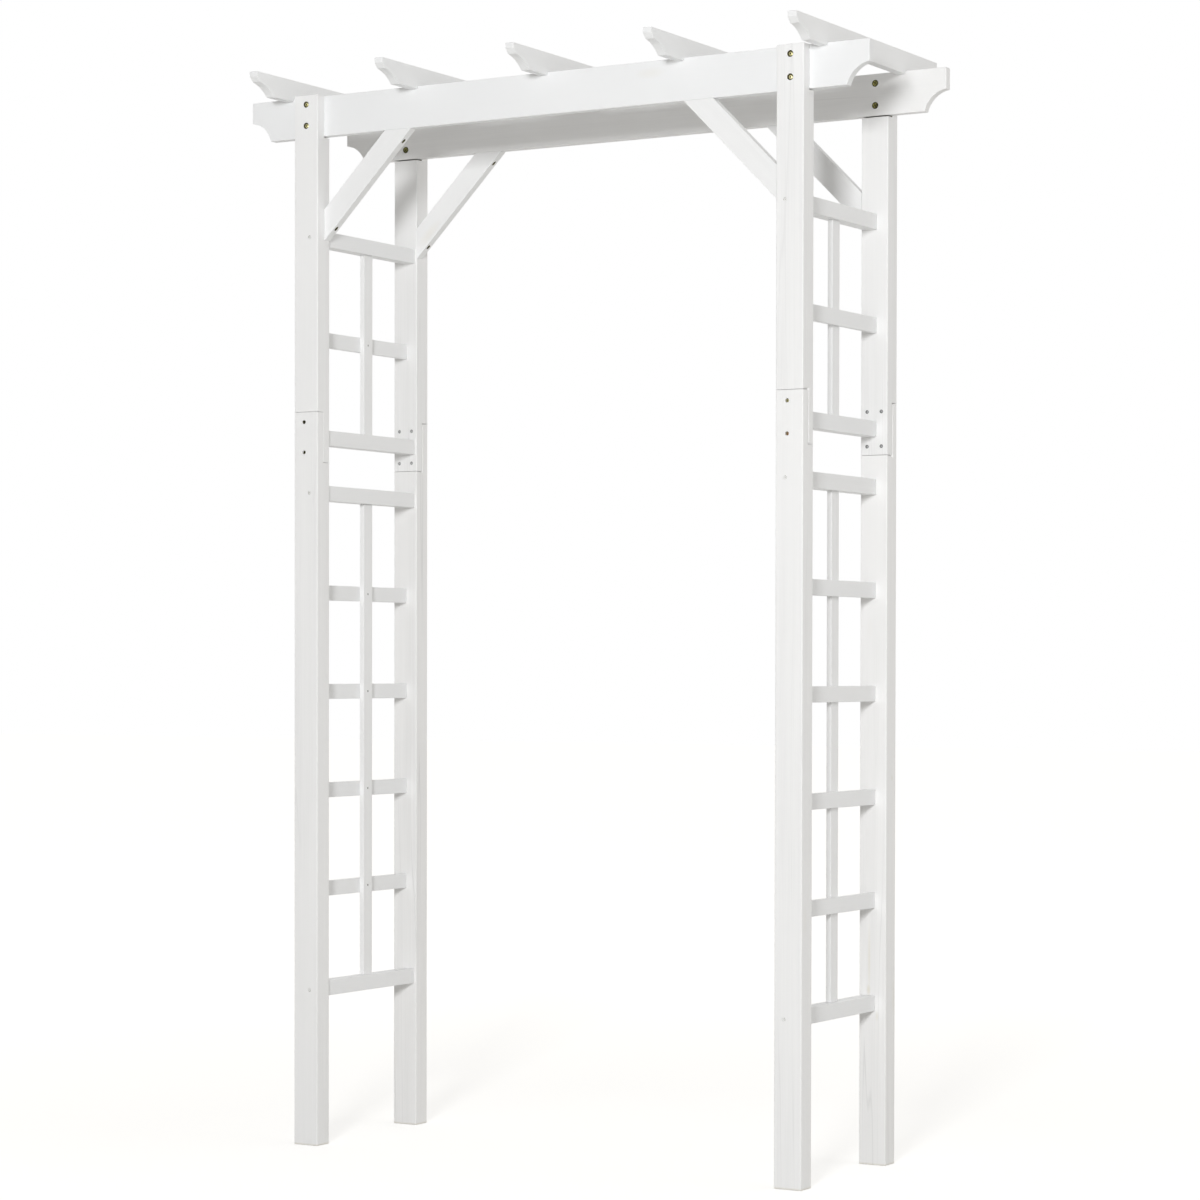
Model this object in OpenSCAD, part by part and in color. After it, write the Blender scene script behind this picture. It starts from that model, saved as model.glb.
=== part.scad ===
// Garden arbour of white painted timber.
// Four posts, each in two lengths joined by a half-lap, carry two beams in rabbets at their tops.
// Five rafters are notched over the beams, four braces stiffen the corners, and a trellis
// panel of rails and one slat fills each side, above and below the half-laps.
// X runs along the beams, Y through the arch with the front at -Y, and Z up from the ground.
// Every corner is drawn as the front left one and mirrored to its place. In that corner u runs
// in from the post's outer side face, v in from its outer front face, and z up from the ground.

/* [Frame] */
// Width over the outer side faces of the posts
frame_w = 1132; // [1000:1:1500]
// Depth over the outer front and back faces of the posts
frame_d = 392; // [320:1:700]
// Height of the beams' underside above the ground
headroom = 2000; // [1900:1:2200]

/* [Posts] */
// Width of a post, along the beams
post_w = 56; // [52:1:80]
// Depth of a post, through the arch
post_d = 41; // [38:1:70]
// Rounding of the posts' long arrises
post_arris = 2; // [1:0.5:4]
// Length of the half-lap that joins the two lengths of a post
lap_l = 100; // [90:1:140]
// Gap between the rabbet's shoulder and the beam above it
seat_gap = 1.5; // [0:0.5:3]

/* [Beams] */
// Height of a beam
beam_h = 80; // [74:1:120]
// Thickness of a beam, which is also the depth of the rabbet that holds it
beam_t = 18; // [16:1:22]
// Overhang of a beam past the outer side face of the post
beam_over = 120; // [100:1:180]
// Height of the upright end of a beam, above its cove
beam_nose = 41; // [30:1:55]
// Length of the cove under a beam's end
beam_cove_l = 45; // [30:1:60]
// Radius of the cove under a beam's end
beam_cove_r = 52; // [45:1:80]

/* [Rafters] */
// Height of a rafter
rafter_h = 43; // [36:1:60]
// Thickness of a rafter
rafter_t = 18; // [14:1:24]
// Overhang of a rafter past the outer face of the post
rafter_over = 100; // [90:1:150]
// Distance from the outer side face of a post out to the middle of the outermost rafter
rafter_out = 27; // [22:1:50]
// Depth of the notches that seat a rafter on the beams
notch_depth = 6; // [4:0.5:12]
// Height of the upright tip of a rafter's end
rafter_tip = 10; // [6:1:14]
// Leg of the slope under the tip of a rafter's end
rafter_slope = 10; // [5:1:12]
// Length of the cove under a rafter's end
rafter_cove_l = 46; // [30:1:55]
// Radius of the cove under a rafter's end
rafter_cove_r = 80; // [60:1:120]

/* [Braces] */
// Length of a brace along the beam, which equals its length along the post
brace_leg = 206; // [150:1:300]
// Width of a brace, square to its length
brace_w = 44; // [34:1:60]
// Thickness of a brace
brace_t = 18; // [16:1:18]

/* [Side panels] */
// Drop from the beams' underside to the top of the upper panel
panel_drop = 186; // [150:1:260]
// Distance from one rail of a panel to the next
rail_pitch = 197; // [150:1:225]
// Open height between the upper and the lower panel
panel_gap = 80; // [70:1:120]
// Set-back of the end rails from the posts' faces towards the archway
rail_in = 5; // [2:1:10]
// Height of every rail
rail_h = 30; // [26:1:40]
// Thickness of the rails at the panels' ends
end_rail_t = 28; // [24:1:34]
// Thickness of the rails between them
mid_rail_t = 9; // [8:1:10]
// Width of the upright slat
slat_w = 30; // [26:1:60]
// Thickness of the upright slat
slat_t = 10; // [8:1:12]
// Length of the stub tenons on the slats and the middle rails
tenon_l = 8; // [5:1:12]
// Depth of the shoulder round a stub tenon, on its narrow sides
tenon_shoulder = 4; // [3:1:6]
// Thickness of a stub tenon
tenon_t = 6; // [5:1:7]

/* [Beam bolts] */
// Diameter of the beam bolts
bolt_d = 6; // [5:1:6]
// Diameter of a beam bolt's domed head
bolt_head_d = 11; // [10:0.5:13]
// Height of a beam bolt's domed head
bolt_head_h = 4; // [3:0.5:5]
// Depth of the recess that holds a bolt's head
bolt_recess = 5; // [4:0.5:7]
// Height of the lower bolt above a beam's underside
bolt_low = 20; // [15:1:24]
// Distance between the two bolts in a post
bolt_pitch = 42; // [36:1:44]
// Diameter of the barrel of a sleeve nut
sleeve_d = 9; // [8:0.5:10]
// Length of a sleeve nut, with its flange
sleeve_l = 15; // [12:1:15]
// Diameter of the flange of a sleeve nut
flange_d = 12; // [11:0.5:16]
// Thickness of the flange of a sleeve nut
flange_t = 1.5; // [1:0.5:2]
// Radial room round a head or a flange in its recess
head_room = 0.75; // [0.5:0.25:1.5]

/* [Screws] */
// Diameter of the wood screws
screw_d = 4; // [3.5:0.5:4.5]
// Diameter of a wood screw's head
screw_head_d = 7; // [6.5:0.5:8]
// Diameter of the recess over a pan-headed wood screw
screw_recess_d = 8.5; // [8:0.5:10]
// Height of a wood screw's head
screw_head_h = 3; // [2:0.5:3.5]
// Depth of the recess over the screws in a half-lap's outer face
lap_recess = 6; // [4:0.5:8]
// Length of those screws under the head
lap_screw_l = 28; // [24:1:30]
// Height of those screws above the half-lap's lower end and below its upper end
lap_screw_edge = 20; // [14:1:24]
// Shift of those screws from the middle of the post, to the left as seen from outside
lap_screw_shift = 4.5; // [0:0.5:5]
// Length of the screws in a half-lap's inner face
inner_screw_l = 33; // [28:1:35]
// Distance between the two columns of those screws
inner_screw_gap = 30; // [27:1:36]
// Height of those screws above the half-lap's lower end and below its upper end
inner_screw_edge = 17; // [12:1:20]
// Distance from a brace's end to the screw there
brace_screw_edge = 23; // [20:1:28]
// Depth of the recess over a brace's screw, on the middle of the hole
brace_recess = 9; // [8:0.5:10]
// Length of a brace's screw that grips the post or the beam
brace_grip = 15; // [12:1:16]
// Length of a rafter's screw that grips the beam
rafter_grip = 24; // [18:1:30]
// Length of a rail's screw that grips the rail
rail_grip = 36; // [28:1:45]
// Diameter of the nails through the slats
nail_d = 2; // [1.5:0.5:2.5]
// Diameter of a nail's head
nail_head_d = 4; // [3:0.5:5]
// Height of a nail's head
nail_head_h = 1; // [0.5:0.25:2]
// Length of a nail that grips the rail behind the slat
nail_grip = 6; // [4:0.5:7]
// Radial clearance round every screw, bolt and nail, and round the tenons
fit = 0.1; // [0.05:0.05:0.3]

/* [Hidden] */
$fn = 48;
paint = [0.94, 0.94, 0.93];
brass = [0.72, 0.6, 0.3];
zinc = [0.55, 0.55, 0.53];
// Amount by which a cut runs past the face that it opens
cut = 1;
// The two lengths of a post share its depth equally in the half-lap
lap_v = post_d / 2;
tongue_v = post_d - beam_t;
beam_top = headroom + beam_h;
beam_l = frame_w + 2 * beam_over;
rafter_l = frame_d + 2 * rafter_over;
rafter_span = frame_w + 2 * rafter_out;
rafter_top = beam_top - notch_depth + rafter_h;
last_rafter = 4;
// Heights of the rails' tops, with two bays in the upper panel and five in the lower one
upper_bays = 2;
lower_bays = 5;
panel_top = headroom - panel_drop;
upper_low = panel_top - upper_bays * rail_pitch;
lower_top = upper_low - rail_h - panel_gap;
lower_low = lower_top - lower_bays * rail_pitch;
upper_mids = [for (i = [1 : upper_bays - 1]) panel_top - i * rail_pitch];
lower_mids = [for (i = [1 : lower_bays - 1]) lower_top - i * rail_pitch];
// The half-lap is centred on the upper panel's bottom rail
lap_z = upper_low - rail_h / 2 - lap_l / 2;
// Places of the panel's pieces, measured in from the post's outer side face
end_rail_u = post_w - rail_in - end_rail_t;
slat_u = end_rail_u + mid_rail_t;
panel_l = frame_d - 2 * post_d;
// The bolt's shank stops just short of the sleeve nut's slotted end
bolt_reach = tongue_v - bolt_recess + beam_t - 2 * flange_t;
// Middle of a brace in its corner, and the wood left between a screw's head and the brace's end
brace_v = tongue_v + brace_t / 2;
brace_seat = brace_screw_edge - brace_recess;
// Length of a rafter's screw
rafter_screw_l = rafter_h - notch_depth + rafter_grip;
// The front left corner's fasteners. Each place is a list of u, v and z
bolt_places = [for (i = [0, 1]) [post_w / 2, bolt_recess, headroom + bolt_low + i * bolt_pitch]];
lap_ends = [lap_z + lap_screw_edge, lap_z + lap_l - lap_screw_edge];
inner_ends = [lap_z + inner_screw_edge, lap_z + lap_l - inner_screw_edge];
inner_places = [for (z = inner_ends, side = [-1, 1]) [post_w / 2 + side * inner_screw_gap / 2, post_d, z]];
// A rail's screw starts at the post's outer face, but inside the half-lap it starts where the lengths meet
rail_u = end_rail_u + end_rail_t / 2;
upper_rail_places = [[rail_u, 0, panel_top - rail_h / 2], [rail_u, lap_v, upper_low - rail_h / 2]];
lower_rail_places = [for (top = [lower_top, lower_low]) [rail_u, 0, top - rail_h / 2]];

// Takes the front left corner to another one: right and back are 0 or 1
module corner(right, back) {
    mirror([right, 0, 0])
        mirror([0, back, 0])
            translate([-frame_w / 2, -frame_d / 2, 0])
                children();
}

module all_corners() {
    for (right = [0, 1])
        for (back = [0, 1])
            corner(right, back) children();
}

// Centre of the circle of radius r through a and b that lies on the right of the way from a to b
function arc_centre(a, b, r) =
    let (half = (b - a) / 2, h = norm(half), rise = sqrt(r * r - h * h))
    a + half + [half[1], -half[0]] * rise / h;

// Wood screw with a countersunk head. Its head's top is at the origin and it points along -Z
module flat_screw(grip) {
    rotate_extrude()
        polygon([
            [0, 0], [screw_head_d / 2, 0], [screw_d / 2, -screw_head_h],
            [screw_d / 2, -grip + screw_d], [0, -grip]
        ]);
}

// Hole for that screw, whose head fills the countersink while its shank has room all round
module flat_hole(grip) {
    shank_r = screw_d / 2 + fit;
    seat = screw_head_h * (screw_head_d / 2 - shank_r) / (screw_head_d / 2 - screw_d / 2);
    rotate_extrude()
        polygon([
            [0, cut], [screw_head_d / 2, cut], [screw_head_d / 2, 0], [shank_r, -seat],
            [shank_r, -grip - fit], [0, -grip - fit]
        ]);
}

// Wood screw with a pan head. The underside of its head is at the origin and it points along -Z
module pan_screw(grip) {
    rotate_extrude()
        polygon([
            [0, screw_head_h], [screw_head_d / 2 - 1, screw_head_h], [screw_head_d / 2, screw_head_h - 1],
            [screw_head_d / 2, 0], [screw_d / 2, 0], [screw_d / 2, -grip + screw_d], [0, -grip]
        ]);
}

// Hole for a pan-headed screw, with the recess above its seat
module pan_hole(grip, recess) {
    translate([0, 0, -grip - fit])
        cylinder(d = screw_d + 2 * fit, h = grip + fit + cut);
    cylinder(d = screw_recess_d, h = recess);
}

module beam_bolt() {
    dome_r = (pow(bolt_head_d / 2, 2) + pow(bolt_head_h, 2)) / (2 * bolt_head_h);
    intersection() {
        cylinder(d = bolt_head_d, h = bolt_head_h);
        translate([0, 0, bolt_head_h - dome_r])
            sphere(r = dome_r, $fn = 64);
    }
    translate([0, 0, -bolt_reach])
        cylinder(d = bolt_d, h = bolt_reach);
}

module sleeve_nut() {
    difference() {
        union() {
            cylinder(d = sleeve_d, h = sleeve_l);
            translate([0, 0, sleeve_l - flange_t])
                cylinder(d = flange_d, h = flange_t);
        }
        translate([0, 0, -cut])
            cylinder(d = bolt_d + 2 * fit, h = sleeve_l + cut - flange_t);
        for (turn = [0, 90])
            rotate([0, 0, turn])
                translate([-sleeve_d / 2, -flange_t / 2, sleeve_l - flange_t / 2])
                    cube([sleeve_d, flange_t, flange_t]);
    }
}

// Points a piece drawn along -Z the other way: into the post from its outer or its inner face
module inward() rotate([90, 0, 0]) children();
module outward() rotate([-90, 0, 0]) children();

// Places of the screws in a half-lap's outer face, where turned is 1 for a post that runs the other way
function lap_places(turned) =
    [for (z = lap_ends) [post_w / 2 - lap_screw_shift * (1 - 2 * turned), lap_recess, z]];

// The rear posts are the front ones turned half round, so their screws shift the other way
function is_turned(right, back) = right == back ? 0 : 1;

module bolt_holes() {
    for (p = bolt_places)
        translate(p) inward() {
            cylinder(d = bolt_head_d + 2 * head_room, h = bolt_recess + cut);
            translate([0, 0, -post_d])
                cylinder(d = bolt_d + 2 * fit, h = post_d + cut);
        }
}

module lap_holes(turned) {
    for (p = lap_places(turned))
        translate(p) inward() pan_hole(lap_screw_l, lap_recess + cut);
    for (p = inner_places)
        translate(p) outward() flat_hole(inner_screw_l);
}

module rail_holes(places) {
    for (p = places)
        translate(p) inward() flat_hole(post_d - p[1] + rail_grip);
}

// Puts a brace's screw or its hole at the top end, pointing up, and at the foot, pointing to the post
module at_brace_ends() {
    translate([post_w + brace_leg - brace_screw_edge, brace_v, headroom - brace_seat])
        rotate([180, 0, 0]) children();
    translate([post_w + brace_seat, brace_v, headroom - brace_leg + brace_screw_edge])
        rotate([0, 90, 0]) children();
}

module brace_holes() at_brace_ends() pan_hole(brace_seat + brace_grip, brace_recess * 2);

// Section of a post with its eased arrises
module post_section() {
    translate([post_arris, 0]) square([post_w - 2 * post_arris, post_d]);
    translate([0, post_arris]) square([post_w, post_d - 2 * post_arris]);
    for (u = [post_arris, post_w - post_arris], v = [post_arris, post_d - post_arris])
        translate([u, v]) circle(r = post_arris);
}

// Stub tenon, lying along Y from the origin, or the mortise that it fits when grow is a clearance
module tenon(width, thick, grow = 0) {
    translate([thick / 2 - tenon_t / 2 - grow, -grow, tenon_shoulder - grow])
        cube([tenon_t + 2 * grow, tenon_l + 2 * grow, width - 2 * tenon_shoulder + 2 * grow]);
}

// Mortises in a post's inner face for the middle rails with these tops
module mid_rail_mortises(tops) {
    for (top = tops)
        translate([end_rail_u, post_d, top - rail_h])
            mirror([0, 1, 0]) tenon(rail_h, mid_rail_t, fit);
}

module post_lower(right, back) {
    color(paint)
        corner(right, back)
            difference() {
                linear_extrude(lap_z + lap_l) post_section();
                translate([-cut, lap_v, lap_z])
                    cube([post_w + 2 * cut, post_d, lap_l + cut]);
                lap_holes(is_turned(right, back));
                rail_holes(lower_rail_places);
                mid_rail_mortises(lower_mids);
            }
}

module post_upper(right, back) {
    color(paint)
        corner(right, back)
            difference() {
                translate([0, 0, lap_z])
                    linear_extrude(beam_top - lap_z) post_section();
                translate([-cut, -cut, lap_z - cut])
                    cube([post_w + 2 * cut, lap_v + cut, lap_l + cut]);
                translate([-cut, tongue_v, headroom - seat_gap])
                    cube([post_w + 2 * cut, post_d, beam_h + seat_gap + cut]);
                lap_holes(is_turned(right, back));
                rail_holes(upper_rail_places);
                bolt_holes();
                brace_holes();
                mid_rail_mortises(upper_mids);
            }
}

// Side of a beam's right end, from its middle: x along it and y up, less the cove
module beam_half() {
    a = [beam_l / 2, beam_h - beam_nose];
    b = [beam_l / 2 - beam_cove_l, 0];
    difference() {
        square([beam_l / 2, beam_h]);
        intersection() {
            translate(arc_centre(b, a, beam_cove_r)) circle(r = beam_cove_r, $fn = 96);
            translate([b[0], -cut]) square([beam_cove_l + cut, a[1] + cut]);
        }
    }
}

module beam(back) {
    color(paint)
        difference() {
            mirror([0, back, 0])
                translate([0, tongue_v - frame_d / 2 + beam_t, headroom])
                    rotate([90, 0, 0])
                        linear_extrude(beam_t)
                            for (side = [0, 1])
                                mirror([side, 0]) beam_half();
            for (right = [0, 1])
                corner(right, back) {
                    for (p = bolt_places)
                        translate([p[0], tongue_v - cut, p[2]])
                            outward() {
                                cylinder(d = sleeve_d + 2 * fit, h = beam_t + 2 * cut);
                                translate([0, 0, beam_t + cut - flange_t])
                                    cylinder(d = flange_d + 2 * head_room, h = flange_t + cut);
                            }
                    brace_holes();
                }
            rafter_fixings() flat_hole(rafter_screw_l);
        }
}

// Side of a rafter's rear end, from its middle: x along it and y up, less the slope and the cove
module rafter_half() {
    tip = [rafter_l / 2, rafter_h - rafter_tip];
    a = tip - [rafter_slope, rafter_slope];
    b = [a[0] - rafter_cove_l, 0];
    beam_edge = frame_d / 2 - tongue_v;
    difference() {
        square([rafter_l / 2, rafter_h]);
        polygon([tip, a, [a[0], -cut], [tip[0] + cut, -cut], [tip[0] + cut, tip[1]]]);
        intersection() {
            translate(arc_centre(b, a, rafter_cove_r)) circle(r = rafter_cove_r, $fn = 96);
            translate([b[0], -cut]) square([rafter_cove_l + cut, a[1] + cut]);
        }
        translate([beam_edge - beam_t - fit, -cut])
            square([beam_t + 2 * fit, notch_depth + cut]);
    }
}

function rafter_x(i) = rafter_span * (i / last_rafter - 1 / 2);

module rafter(i) {
    color(paint)
        difference() {
            translate([rafter_x(i) - rafter_t / 2, 0, rafter_top - rafter_h])
                rotate([90, 0, 90])
                    linear_extrude(rafter_t)
                        for (side = [0, 1])
                            mirror([side, 0]) rafter_half();
            rafter_fixings() flat_hole(rafter_screw_l);
        }
}

// Places of the screws down through the rafters into the beams
module rafter_fixings() {
    for (i = [0 : last_rafter], side = [-1, 1])
        translate([rafter_x(i), side * (frame_d / 2 - tongue_v - beam_t / 2), rafter_top])
            children();
}

module brace(right, back) {
    slant = brace_w * sqrt(2);
    color(paint)
        corner(right, back)
            difference() {
                translate([post_w, tongue_v + brace_t, headroom])
                    rotate([90, 0, 0])
                        linear_extrude(brace_t)
                            polygon([
                                [0, -brace_leg], [brace_leg, 0],
                                [brace_leg - slant, 0], [0, slant - brace_leg]
                            ]);
                brace_holes();
            }
}

// Rail at a panel's end, with the slat standing on it, or hanging from it where slat_below is 1
module end_rail(right, top, slat_below) {
    color(paint)
        mirror([right, 0, 0])
            difference() {
                translate([end_rail_u - frame_w / 2, -panel_l / 2, top - rail_h])
                    cube([end_rail_t, panel_l, rail_h]);
                for (back = [0, 1])
                    corner(0, back) rail_holes(concat(upper_rail_places, lower_rail_places));
                translate([slat_u - frame_w / 2, -slat_w / 2, top - slat_below * rail_h])
                    mirror([0, 0, slat_below])
                        rotate([-90, 0, 0]) tenon(slat_w, slat_t, fit);
            }
}

module mid_rail(right, top) {
    color(paint)
        mirror([right, 0, 0])
            difference() {
                translate([end_rail_u - frame_w / 2, 0, top - rail_h]) {
                    translate([0, -panel_l / 2, 0]) cube([mid_rail_t, panel_l, rail_h]);
                    for (back = [0, 1])
                        mirror([0, back, 0])
                            translate([0, panel_l / 2, 0]) tenon(rail_h, mid_rail_t);
                }
                nail_place(top) nail_hole();
            }
}

module slat(right, low, high, tops) {
    color(paint)
        mirror([right, 0, 0])
            difference() {
                union() {
                    translate([slat_u - frame_w / 2, -slat_w / 2, low])
                        cube([slat_t, slat_w, high - low]);
                    translate([slat_u - frame_w / 2, -slat_w / 2, low])
                        rotate([-90, 0, 0]) tenon(slat_w, slat_t);
                    translate([slat_u - frame_w / 2, slat_w / 2, high])
                        rotate([90, 0, 0]) tenon(slat_w, slat_t);
                }
                for (top = tops)
                    nail_place(top) nail_hole();
            }
}

// Place of the nail through the slat into the rail with this top, pointing away from the archway
module nail_place(top) {
    translate([slat_u + slat_t - frame_w / 2, 0, top - rail_h / 2])
        rotate([0, 90, 0]) children();
}

// Nail with its head's top at the origin, pointing along -Z
module nail() {
    translate([0, 0, -nail_head_h])
        cylinder(d = nail_head_d, h = nail_head_h);
    translate([0, 0, -slat_t - nail_grip])
        cylinder(d = nail_d, h = slat_t + nail_grip);
}

// Hole for that nail, with room round it but none under its head
module nail_hole() {
    translate([0, 0, -nail_head_h])
        cylinder(d = nail_head_d + 2 * fit, h = nail_head_h + cut);
    translate([0, 0, -slat_t - nail_grip - fit])
        cylinder(d = nail_d + 2 * fit, h = slat_t + nail_grip + fit);
}

module beam_bolts() {
    color(brass)
        all_corners()
            for (p = bolt_places)
                translate(p) inward() beam_bolt();
}

module beam_sleeve_nuts() {
    color(brass)
        all_corners()
            for (p = bolt_places)
                translate([p[0], post_d - sleeve_l, p[2]]) outward() sleeve_nut();
}

module lap_screws_outer() {
    color(brass)
        for (right = [0, 1], back = [0, 1])
            corner(right, back)
                for (p = lap_places(is_turned(right, back)))
                    translate(p) inward() pan_screw(lap_screw_l);
}

module lap_screws_inner() {
    color(zinc)
        all_corners()
            for (p = inner_places)
                translate(p) outward() flat_screw(inner_screw_l);
}

module brace_screws() {
    color(zinc)
        all_corners()
            at_brace_ends() pan_screw(brace_seat + brace_grip);
}

module rafter_screws() {
    color(zinc)
        rafter_fixings() flat_screw(rafter_screw_l);
}

module rail_screws() {
    color(paint)
        all_corners()
            for (p = concat(upper_rail_places, lower_rail_places))
                translate(p) inward() flat_screw(post_d - p[1] + rail_grip);
}

module slat_nails() {
    color(paint)
        for (right = [0, 1], top = concat(upper_mids, lower_mids))
            mirror([right, 0, 0])
                nail_place(top) nail();
}

post_lower(0, 0);  // post_lower_front_left
post_lower(1, 0);  // post_lower_front_right
post_lower(0, 1);  // post_lower_rear_left
post_lower(1, 1);  // post_lower_rear_right
post_upper(0, 0);  // post_upper_front_left
post_upper(1, 0);  // post_upper_front_right
post_upper(0, 1);  // post_upper_rear_left
post_upper(1, 1);  // post_upper_rear_right
beam(0);  // beam_front
beam(1);  // beam_rear
rafter(0);  // rafter_1
rafter(1);  // rafter_2
rafter(2);  // rafter_3
rafter(3);  // rafter_4
rafter(4);  // rafter_5
brace(0, 0);  // brace_front_left
brace(1, 0);  // brace_front_right
brace(0, 1);  // brace_rear_left
brace(1, 1);  // brace_rear_right
end_rail(0, panel_top, 1);  // upper_top_rail_left
mid_rail(0, upper_mids[0]);  // upper_mid_rail_left
end_rail(0, upper_low, 0);  // upper_bottom_rail_left
slat(0, upper_low, panel_top - rail_h, upper_mids);  // upper_slat_left
end_rail(0, lower_top, 1);  // lower_top_rail_left
mid_rail(0, lower_mids[0]);  // lower_mid_rail_1_left
mid_rail(0, lower_mids[1]);  // lower_mid_rail_2_left
mid_rail(0, lower_mids[2]);  // lower_mid_rail_3_left
mid_rail(0, lower_mids[3]);  // lower_mid_rail_4_left
end_rail(0, lower_low, 0);  // lower_bottom_rail_left
slat(0, lower_low, lower_top - rail_h, lower_mids);  // lower_slat_left
end_rail(1, panel_top, 1);  // upper_top_rail_right
mid_rail(1, upper_mids[0]);  // upper_mid_rail_right
end_rail(1, upper_low, 0);  // upper_bottom_rail_right
slat(1, upper_low, panel_top - rail_h, upper_mids);  // upper_slat_right
end_rail(1, lower_top, 1);  // lower_top_rail_right
mid_rail(1, lower_mids[0]);  // lower_mid_rail_1_right
mid_rail(1, lower_mids[1]);  // lower_mid_rail_2_right
mid_rail(1, lower_mids[2]);  // lower_mid_rail_3_right
mid_rail(1, lower_mids[3]);  // lower_mid_rail_4_right
end_rail(1, lower_low, 0);  // lower_bottom_rail_right
slat(1, lower_low, lower_top - rail_h, lower_mids);  // lower_slat_right
beam_bolts();
beam_sleeve_nuts();
lap_screws_outer();
lap_screws_inner();
brace_screws();
rafter_screws();
rail_screws();
slat_nails();
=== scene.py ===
# The garden arbour's looks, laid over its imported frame. Lengths are in metres: X runs along the
# beams, Y from the front to the back through the arch, and Z up from the ground.
import bpy
import numpy as np
from mathutils import Matrix, Vector
from mathutils.geometry import delaunay_2d_cdt


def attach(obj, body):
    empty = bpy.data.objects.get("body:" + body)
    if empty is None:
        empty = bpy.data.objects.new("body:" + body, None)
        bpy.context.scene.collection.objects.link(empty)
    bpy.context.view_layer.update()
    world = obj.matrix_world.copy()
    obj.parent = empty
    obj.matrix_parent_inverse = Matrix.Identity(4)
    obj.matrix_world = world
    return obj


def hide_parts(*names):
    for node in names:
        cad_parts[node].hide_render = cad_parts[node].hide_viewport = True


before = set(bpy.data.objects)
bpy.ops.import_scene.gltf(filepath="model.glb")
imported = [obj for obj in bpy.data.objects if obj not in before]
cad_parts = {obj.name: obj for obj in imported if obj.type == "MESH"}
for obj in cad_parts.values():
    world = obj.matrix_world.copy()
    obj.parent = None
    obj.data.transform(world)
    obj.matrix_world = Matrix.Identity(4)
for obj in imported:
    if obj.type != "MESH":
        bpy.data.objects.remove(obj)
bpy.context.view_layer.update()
scene = bpy.context.scene


# ---- Camera ----
# It stands 6.4 m off, to the front right of the arch, a little below half its height and almost
# level. A long lens keeps the posts nearly parallel, and is raised a little to hold the rafters.
CAMERA_PLACE = (3.2799, -5.4901, 0.9509)
CAMERA_YAW, CAMERA_PITCH, CAMERA_ROLL = np.radians([30.67, -0.82, 0.10])
FILM_WIDTH, FOCAL_LENGTH, LENS_RISE = 36.0, 98.37, 0.0949
ahead = np.array([-np.sin(CAMERA_YAW) * np.cos(CAMERA_PITCH),
                  np.cos(CAMERA_YAW) * np.cos(CAMERA_PITCH), np.sin(CAMERA_PITCH)])
level = np.array([np.cos(CAMERA_YAW), np.sin(CAMERA_YAW), 0.0])
upright = np.cross(level, ahead)
rightward = level * np.cos(CAMERA_ROLL) + upright * np.sin(CAMERA_ROLL)
upward = upright * np.cos(CAMERA_ROLL) - level * np.sin(CAMERA_ROLL)
turn = Matrix([list(row) for row in np.stack([rightward, upward, -ahead], axis=1)]).to_4x4()
lens = bpy.data.cameras.new("camera")
lens.sensor_width = FILM_WIDTH
lens.lens = FOCAL_LENGTH
lens.shift_y = LENS_RISE
camera = bpy.data.objects.new("camera", lens)
camera.matrix_world = Matrix.Translation(Vector(CAMERA_PLACE)) @ turn
scene.collection.objects.link(camera)
scene.camera = camera
scene.view_settings.view_transform = "Standard"


# ---- Studio ----
# One soft lamp stands to the front right, as high as the rafters, and a weak wide one on the right
# lifts the inner faces. The room is white, brighter behind the arbour than in front of it. The
# floor is white to the camera too, and keeps a faint shadow round the arbour.
LAMP_COLOUR = (0.984, 0.99, 1.0)


def soft_lamp(name, place, aim, width, power):
    """A square lamp of the given width at place, turned to face aim."""
    light = bpy.data.lights.new(name, "AREA")
    light.size = width
    light.energy = power
    light.color = LAMP_COLOUR
    lamp = bpy.data.objects.new(name, light)
    facing = (Vector(aim) - Vector(place)).to_track_quat("-Z", "Y")
    lamp.matrix_world = Matrix.Translation(Vector(place)) @ facing.to_matrix().to_4x4()
    scene.collection.objects.link(lamp)


soft_lamp("key_lamp", place=(2.6, -7.1, 2.2), aim=(0.0, 0.0, 1.1), width=1.1, power=310.0)
soft_lamp("side_lamp", place=(6.5, 0.5, 2.0), aim=(0.0, 0.0, 1.2), width=3.0, power=26.0)


def feed(tree, socket, value):
    """Gives a socket a plain value, or links it to another node's output."""
    if isinstance(value, bpy.types.NodeSocket):
        tree.links.new(value, socket)
    else:
        socket.default_value = value


def join(tree, operation, first, second):
    """Adds, multiplies or otherwise joins two values, either of which may be a plain number."""
    node = tree.nodes.new("ShaderNodeMath")
    node.operation = operation
    feed(tree, node.inputs[0], first)
    feed(tree, node.inputs[1], second)
    return node.outputs[0]


def spread(tree, value, found, wanted):
    """Takes the range found to the range wanted, and holds what lies beyond it at the ends."""
    node = tree.nodes.new("ShaderNodeMapRange")
    for key, number in zip(("From Min", "From Max", "To Min", "To Max"), (*found, *wanted)):
        node.inputs[key].default_value = number
    feed(tree, node.inputs["Value"], value)
    return node.outputs["Result"]


def vector_step(tree, operation, vector, amount=None):
    """One operation on a vector, with a second vector or, where it scales, with one number."""
    node = tree.nodes.new("ShaderNodeVectorMath")
    node.operation = operation
    feed(tree, node.inputs[0], vector)
    if amount is not None:
        feed(tree, node.inputs["Scale" if operation == "SCALE" else 1], amount)
    return node.outputs["Value" if operation == "LENGTH" else "Vector"]


def mixed(tree, share, first, second):
    """A colour between two others: the first at a share of 0, the second at a share of 1."""
    node = tree.nodes.new("ShaderNodeMix")
    node.data_type = "RGBA"
    feed(tree, node.inputs["Factor"], share)
    feed(tree, node.inputs["A"], first)
    feed(tree, node.inputs["B"], second)
    return node.outputs["Result"]


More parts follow.
